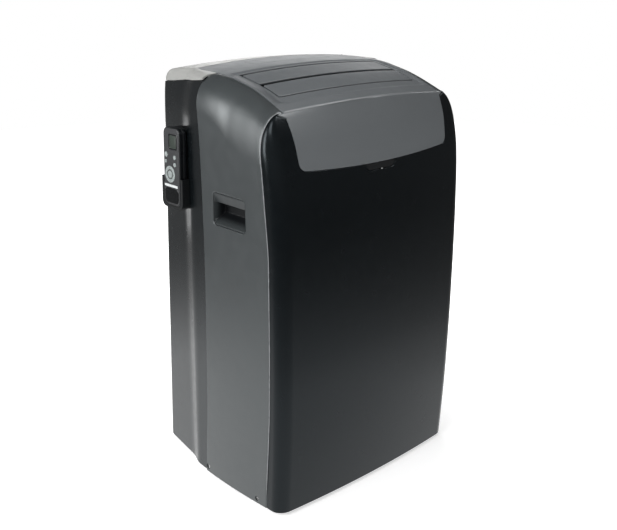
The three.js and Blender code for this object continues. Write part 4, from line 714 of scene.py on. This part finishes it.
# ---------------------------------------------------------------- rear housing
az = [(0.6, q) for q in lin(0, 729, 8)]
outer = [(a, 0.0) for a in lin(0.6, RTOT - 0.6, 6)] + [(RTOT - 0.6, q) for q in lin(8, 729, 8)] + [(a, 730.0) for a in lin(RTOT - 6, 6, 6)] + [(0.6, q) for q in lin(729, 8, 8)]
def rear_hole(pts): return [(rear_a(x, z), rear_q(z)) for x, z in pts]
UP, LOW, COLLAR_Z, COLLAR_R = (-140, 140, 490, 690), (-140, 140, 62, 292), 378.0, 75.0
holes = [rear_hole(round_rect(*UP, 10)), rear_hole(round_rect(*LOW, 10)),
         rear_hole([((COLLAR_R + 0.6) * math.cos(t), COLLAR_Z + (COLLAR_R + 0.6) * math.sin(t)) for t in [2 * math.pi * i / 64 for i in range(64)]]),
         rear_hole([(-60 + 7.2 * math.cos(t), 36 + 7.2 * math.sin(t)) for t in [2 * math.pi * i / 24 for i in range(24)]]),
         rear_hole([(150 + 8.6 * math.cos(t), 60 + 8.6 * math.sin(t)) for t in [2 * math.pi * i / 24 for i in range(24)]])]
half = lin(2, 18, 4) + lin(20, 84, 1.8) + lin(90, 150, 6) + lin(153, 180, 1.8) + lin(186, 345, 8)
grid = (sorted(set([round(v, 3) for v in half] + [round(RTOT - v, 3) for v in half])), lin(5, 726, 12))
panel("rear_skin", outer, rear_az, grid, "cabinet", M["rear"], holes=holes, sign=-1, step=3.0)
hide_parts("rear_housing")

# --------------------------------------------------------------------- the cap
CU, CV = 690.0, 60.0
def cap_uv(a, b): return cap_surface(clamp(a / CU, 0, 1), clamp(b / CV, 0, 1))
outer = [(a, 0.0) for a in lin(1, CU - 1, 4)] + [(CU - 1, b) for b in lin(3, CV - 1, 3)] + [(a, CV) for a in lin(CU - 1, 1, 4)] + [(1, b) for b in lin(CV - 1, 3, 3)]
half = lin(4, 90, 3) + lin(92, 180, 3) + lin(186, 345, 8)
grid = (sorted(set([round(v, 3) for v in half] + [round(CU - v, 3) for v in half])), lin(2.5, 57, 2.5))
panel("cap_skin", outer, cap_uv, grid, "cabinet", M["cap"], sign=-1, step=3.0)
for v in bpy.data.objects["cap_skin"].data.vertices:   # the front edge turns a corner here and must not stand up
    if 0.172 < abs(v.co.x) < 0.1815 and v.co.y < 0.086 and v.co.z > 0.7685: v.co.z = 0.7685
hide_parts("rear_cap")

# ------------------------------------------------------------------- grip cups
def grip_lift(y, z):
    e = -box_sdf(y, z, GRIP[0] + 0.4, GRIP[1] - 0.4, GRIP[2] + 0.4, GRIP[3] - 0.4, 7.6)
    side = 0.6 + 24.5 * smooth(min(y - GRIP[0] - 0.4, GRIP[1] - 0.4 - y) / 4.5)
    floor_d = lerp(0.9, 24.5, smooth((z - 518.2) / 17.5) * 0.35 + clamp((z - 518.2) / 17.0, 0, 1) * 0.65)
    lip = lerp(0.8, 7.4, clamp((572.5 - z) / 17, 0, 1))
    d = lerp(min(24.5, floor_d), lip, smooth((z - 553.6) / 2.2))
    k = 1.2; a = min(d, side); d = a - max(0, k - abs(d - side)) ** 2 / (4 * k)
    d = min(max(d, 0.4), 0.6 + max(0, e) * 9)
    return (-side_x(y, z) + d, y, z)
gy = lin(-109.2, -104, 0.6) + lin(-102, -30, 3) + lin(-28, -22.8, 0.6)
gzz = lin(518, 536, 1.5) + lin(538, 552, 3.5) + lin(553.2, 556.4, 0.4) + lin(558, 573, 2.5)
for nm, mir in (("left", False), ("right", True)):
    panel(nm + "_grip_pocket", round_rect(GRIP[0] + 0.35, GRIP[1] - 0.35, GRIP[2] + 0.35, GRIP[3] - 0.35, 7.7), grip_lift, (gy, gzz), "cabinet",
          M["pocket"], sign=-1, step=1.6, kinds=3, rings=2, thick=1.6, mirror=mir)
    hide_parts(nm + "_grip_cup")


# ---------------------------------------------------------------------- solids
def finish_mesh(ob, deg=38):
    bm = bmesh.new(); bm.from_mesh(ob.data); bmesh.ops.recalc_face_normals(bm, faces=bm.faces)
    for e in bm.edges:
        e.smooth = not (len(e.link_faces) == 2 and e.calc_face_angle(0) > math.radians(deg))
    for f in bm.faces: f.smooth = True
    bm.to_mesh(ob.data); bm.free(); return ob


def loft(name, rings, body, material, deg=38, closed_ends=True):
    n = len(rings[0]); V = [p for r in rings for p in r]; F = []
    for k in range(len(rings) - 1):
        for i in range(n): j = (i + 1) % n; F.append([k * n + i, k * n + j, (k + 1) * n + j, (k + 1) * n + i])
    if closed_ends:
        F.append(list(range(n))[::-1]); F.append([(len(rings) - 1) * n + i for i in range(n)])
    else:
        for i in range(n): j = (i + 1) % n; F.append([(len(rings) - 1) * n + i, (len(rings) - 1) * n + j, j, i])
    return finish_mesh(new_object(name, V, F, body, material), deg)


def bead(name, path, r, body, material, n=8):
    """a thin round bead along a path of points"""
    P = [Vector(p) for p in path]; rings = []
    for k, p in enumerate(P):
        t = (P[min(k + 1, len(P) - 1)] - P[max(k - 1, 0)]).normalized()
        u = t.cross(Vector((0, 1, 0.02))).normalized(); w = u.cross(t)
        rr = r * min(1.0, 0.25 + k / 6, 0.25 + (len(P) - 1 - k) / 6)
        rings.append([tuple(p + rr * (math.cos(2 * math.pi * i / n) * u + math.sin(2 * math.pi * i / n) * w)) for i in range(n)])
    return loft(name, rings, body, material, 60)


def lathe(name, profile, place, body, material, n=32, ring=False, deg=38):
    """profile of (radius, depth); place(u, v, depth) puts a point of the turned section; ring closes the section on itself"""
    rings = [[place(r * math.cos(2 * math.pi * i / n), r * math.sin(2 * math.pi * i / n), d) for i in range(n)] for r, d in profile]
    return loft(name, rings, body, material, deg, closed_ends=not ring)


def boxes(name, items, body, material, bevel=0.3):
    """many small bars in one mesh, each with its long edges taken off"""
    V, F = [], []
    for x0, x1, y0, y1, z0, z1, axis, tilt in items:
        c = ((x0 + x1) / 2, (y0 + y1) / 2, (z0 + z1) / 2)
        if axis == "x": h, a, b = (x1 - x0) / 2, (y1 - y0) / 2, (z1 - z0) / 2
        elif axis == "z": h, a, b = (z1 - z0) / 2, (x1 - x0) / 2, (y1 - y0) / 2
        else: h, a, b = (y1 - y0) / 2, (z1 - z0) / 2, (x1 - x0) / 2
        k = min(bevel, a * 0.8, b * 0.8); base = len(V)
        sec = [(a - k, b), (a, b - k), (a, -b + k), (a - k, -b), (-a + k, -b), (-a, -b + k), (-a, b - k), (-a + k, b)]
        t = math.radians(tilt); sec = [(u * math.cos(t) - v * math.sin(t), u * math.sin(t) + v * math.cos(t)) for u, v in sec]
        for sgn in (-1, 1):
            for u, v in sec:
                q = {"x": (sgn * h, u, v), "z": (u, v, sgn * h), "y": (v, sgn * h, u)}[axis]
                V.append(tuple(c[i] + q[i] for i in range(3)))
        for i in range(8): j = (i + 1) % 8; F.append([base + i, base + j, base + 8 + j, base + 8 + i])
        F.append([base + i for i in range(8)][::-1]); F.append([base + 8 + i for i in range(8)])
    return finish_mesh(new_object(name, V, F, body, material), 30)


# painted highlight: light grey beads along both front seams
for nm, sg in (("left", 1), ("right", -1)):
    bead(nm + "_seam_trim", [(sg * x, y - 0.25, z) for x, y, z in SEAM_HIGHLIGHT_PATH], 0.75, "cabinet", M["trim"])

# ---------------------------------------------------------------------- remote
LEAN = math.radians(1.88)
def rem(a, b, d): return (-234 + b * math.sin(LEAN) + d * math.cos(LEAN), a, 527 + b * math.cos(LEAN) - d * math.sin(LEAN))
def inset_rect(k, r=12.0): return round_rect(74 + k, 124 - k, 0 + k, 140 - k, max(1.5, r - k), 8)
loft("remote_case", [[rem(a, b, d) for a, b in inset_rect(k)] for k, d in
     ((4.0, 2.6), (1.2, 2.4), (0.35, 2.7), (0, 3.4), (0, 9.4), (0.3, 9.7), (0.3, 10.3), (0, 10.6), (0, 16.2), (1.3, 18.4), (3.2, 19.6), (5.5, 20.0))], "remote", M["remote"], deg=50)
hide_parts("remote_body")
KEYS = {"power_key": (114.5, 91, 4.6), "key_1": (116, 78.5, 3.2), "key_2": (88, 88, 3.8), "key_3": (88, 75, 3.8)}
circ = lambda a, b, r, n=28: [(a + r * math.cos(2 * math.pi * i / n), b + r * math.sin(2 * math.pi * i / n)) for i in range(n)]
holes = [circ(a, b, r + 0.3) for a, b, r in KEYS.values()] + [circ(103, 56, 15.3, 40), round_rect(81.1, 106.9, 101.1, 128.9, 2)]
fmark = round_rect(75.3, 122.7, 1.3, 138.7, 10.8, 8)
panel("remote_face", fmark, lambda a, b: rem(a, b, 1.2 + 0.5 * ((a - 99) / 25) ** 2), (lin(77, 121, 4), lin(3, 137, 5)), "remote", M["remface"],
      holes=holes, hole_kinds=[3] * 6, sign=-1, step=1.6, rings=3, kinds=0, thick=1.3)
panel("remote_lower_gloss", round_rect(77.5, 120.5, 3.4, 31, 8.5, 8), lambda a, b: rem(a, b, 0.98 + 0.5 * ((a - 99) / 25) ** 2), (lin(80, 118, 5), lin(6, 29, 5)), "remote", M["remgloss"],
      sign=-1, step=1.6, rings=2, kinds=3, thick=0.25)
panel("remote_label_bar", round_rect(80.5, 121, 32.8, 37.6, 1.2, 4), lambda a, b: rem(a, b, 0.98 + 0.5 * ((a - 99) / 25) ** 2), (lin(82, 120, 5), lin(34, 37, 1.5)), "remote", M["label"],
      sign=-1, step=1.2, rings=2, kinds=3, thick=0.25)
loft("remote_lcd_bezel", [[rem(a, b, d) for a, b in round_rect(81.3 + k, 106.7 - k, 101.3 + k, 128.7 - k, 1.9, 4)] for k, d in ((0, 2.9), (0, 1.75), (0.5, 1.5), (2.0, 1.5), (2.4, 1.9), (2.4, 2.9))],
     "remote", M["remgloss"], closed_ends=False)
loft("remote_lcd", [[rem(a, b, d) for a, b in round_rect(83.4 + k, 104.6 - k, 103.4 + k, 126.6 - k, 0.8, 3)] for k, d in ((0, 2.8), (0, 1.85), (0.3, 1.7))], "remote", M["display"])
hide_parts("remote_display")
for nm, (a, b, r) in KEYS.items():
    pl = lambda u, v, d, a=a, b=b: rem(a + u, b + v, d)
    body = "remote_" + nm
    ob = lathe("remote_" + nm + "_cap", [(r, 4.0), (r, 0.95), (r * 0.93, 0.6), (r * 0.78, 0.42), (r * 0.4, 0.36), (0.4, 0.36)], pl, body, M["key"] if nm != "key_1" else M["key"], n=28)
    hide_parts(body)
pl = lambda u, v, d: rem(103 + u, 56 + v, d)
ob = lathe("remote_pad_ring", [(15, 4.0), (15, 1.0), (14.6, 0.62), (13.8, 0.45), (10.4, 0.45), (9.6, 0.6), (9.2, 1.1), (9.2, 4.0)], pl, "remote_dial_pad", M["key"], n=48, ring=True)
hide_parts("remote_dial_pad")
lathe("remote_pad_well", [(9.1, 4.0), (9.1, 1.5), (6.6, 1.4), (6.6, 4.0)], pl, "remote_dial_pad", M["keydark"], n=40, ring=True)
lathe("remote_pad_centre", [(6.4, 4.0), (6.4, 0.9), (6.0, 0.6), (5.0, 0.48), (2.6, 0.44), (0.4, 0.44)], pl, "remote_dial_pad", M["key"], n=36)
for k in range(4):
    t = math.pi / 2 * k; c, w = (103 + 12.1 * math.cos(t), 56 + 12.1 * math.sin(t)), 1.25
    tri = [(c[0] + w * math.cos(t), c[1] + w * math.sin(t)), (c[0] + w * math.cos(t + 2.2), c[1] + w * math.sin(t + 2.2)), (c[0] + w * math.cos(t - 2.2), c[1] + w * math.sin(t - 2.2))]
    loft("remote_pad_arrow_%d" % (k + 1), [[rem(a, b, 0.8) for a, b in tri], [rem(a, b, 0.38) for a, b in tri]], "remote_dial_pad", M["keydark"])

# --------------------------------------------------------------------- filters
for nm, (x0, x1, z0, z1) in (("upper_filter", UP), ("lower_filter", LOW)):
    lift = lambda a, b: (a, 200.6, b)
    ob = panel(nm + "_frame", round_rect(x0 + 0.5, x1 - 0.5, z0 + 0.5, z1 - 0.5, 9.6), lift, (lin(x0 + 2, x1 - 2, 12), lin(z0 + 2, z1 - 2, 12)), nm, M["rear"],
               holes=[round_rect(x0 + 11, x1 - 11, z0 + 11, z1 - 11, 6)], sign=-1, step=4, thick=7.0)
    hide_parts(nm)
    bars = [(x0 + 10.5, x1 - 10.5, 194.6, 200.2, z, z + 1.7, "x", 24) for z in lin(z0 + 17, z1 - 17, 8.6)]
    bars += [(x - 1.1, x + 1.1, 193.8, 198.9, z0 + 10.5, z1 - 10.5, "z", 0) for x in lin(x0 + 70, x1 - 70, 46)]
    boxes(nm + "_louvres", bars, nm, M["rear"], bevel=0.5)
    boxes(nm + "_net", [(x0 + 10.8, x1 - 10.8, 193.2, 193.7, z0 + 10.8, z1 - 10.8, "x", 0)], nm, M["net"], bevel=0.1)
    boxes(nm + "_pull", [(-17, 17, 200.4, 201.2, z1 - 8.6, z1 - 3.2, "x", 0)], nm, M["grip"], bevel=0.35)

# --------------------------------------------------------------------- casters
for nm, (x, y) in (("front_left", (-165, -122)), ("front_right", (165, -122)), ("rear_left", (-146, 140)), ("rear_right", (146, 140))):
    wx = lambda u, v, d, x=x, y=y: (x + d, y + 12 + u, 20 + v)
    half = [(15.3, -8.2), (16.2, -8.9), (18.2, -8.4), (19.4, -7.0), (19.95, -4.6)]
    ob = lathe("caster_tyre_" + nm, half + [(r, -d) for r, d in half[::-1]], wx, "wheel_" + nm, M["rubber"], n=48, ring=True)
    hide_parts("caster_wheel_" + nm)
    hub = [(3.3, -8.9), (5.6, -8.9), (6.2, -8.3), (6.6, -5.6), (13.2, -5.6), (13.9, -8.2), (15.2, -8.4)]
    lathe("caster_hub_" + nm, hub + [(r, -d) for r, d in hub[::-1]], wx, "wheel_" + nm, M["hub"], n=40, ring=True)

# ---------------------------------------------------------------------- screws
for side_, sg in (("left", -1), ("right", 1)):
    for nm, (y, z), r in (("front", SCREWS[0], 3.7), ("rear", SCREWS[1], 3.9)):
        node = side_ + "_" + nm + "_screw"; lo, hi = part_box(node); xf = (lo.x if sg < 0 else hi.x) * 1000
        pl = lambda u, v, d, y=y, z=z, xf=xf, sg=sg: (xf - sg * d, y + u, z + v)
        ob = lathe(side_ + "_" + nm + "_screw_head", [(2.1, 8.0), (2.1, 2.6), (r, 2.4), (r, 1.5), (r * 0.8, 0.6), (r * 0.45, 0.15), (1.5, 0.1), (1.1, 1.4), (0.2, 1.6)], pl, "cabinet", M["screw"], n=24)
        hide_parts(node)

# ------------------------------------------------------- fins on the two coils
for nm in ("evaporator_coil", "condenser_coil"):
    lo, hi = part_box(nm); lo, hi = lo * 1000, hi * 1000
    boxes(nm + "_fins", [(x, x + 0.35, lo.y - 0.25, hi.y + 0.25, lo.z + 4, hi.z - 4, "z", 0) for x in lin(lo.x + 6, hi.x - 6, 3.4)], "cabinet", M["alu"], bevel=0.05)

# -------------------------------------- the parts carried over get broken edges
for name, ob in NODES.items():
    if ob.hide_render: continue
    ob.data.polygons.foreach_set("use_smooth", [True] * len(ob.data.polygons))
    m = ob.modifiers.new("merge", "DECIMATE"); m.decimate_type = "DISSOLVE"; m.angle_limit = math.radians(1.5)
    m = ob.modifiers.new("edges", "BEVEL"); m.width = 0.0006; m.segments = 2; m.limit_method = "ANGLE"; m.angle_limit = math.radians(38); m.use_clamp_overlap = True
    m = ob.modifiers.new("normals", "WEIGHTED_NORMAL"); m.keep_sharp = False; m.weight = 80
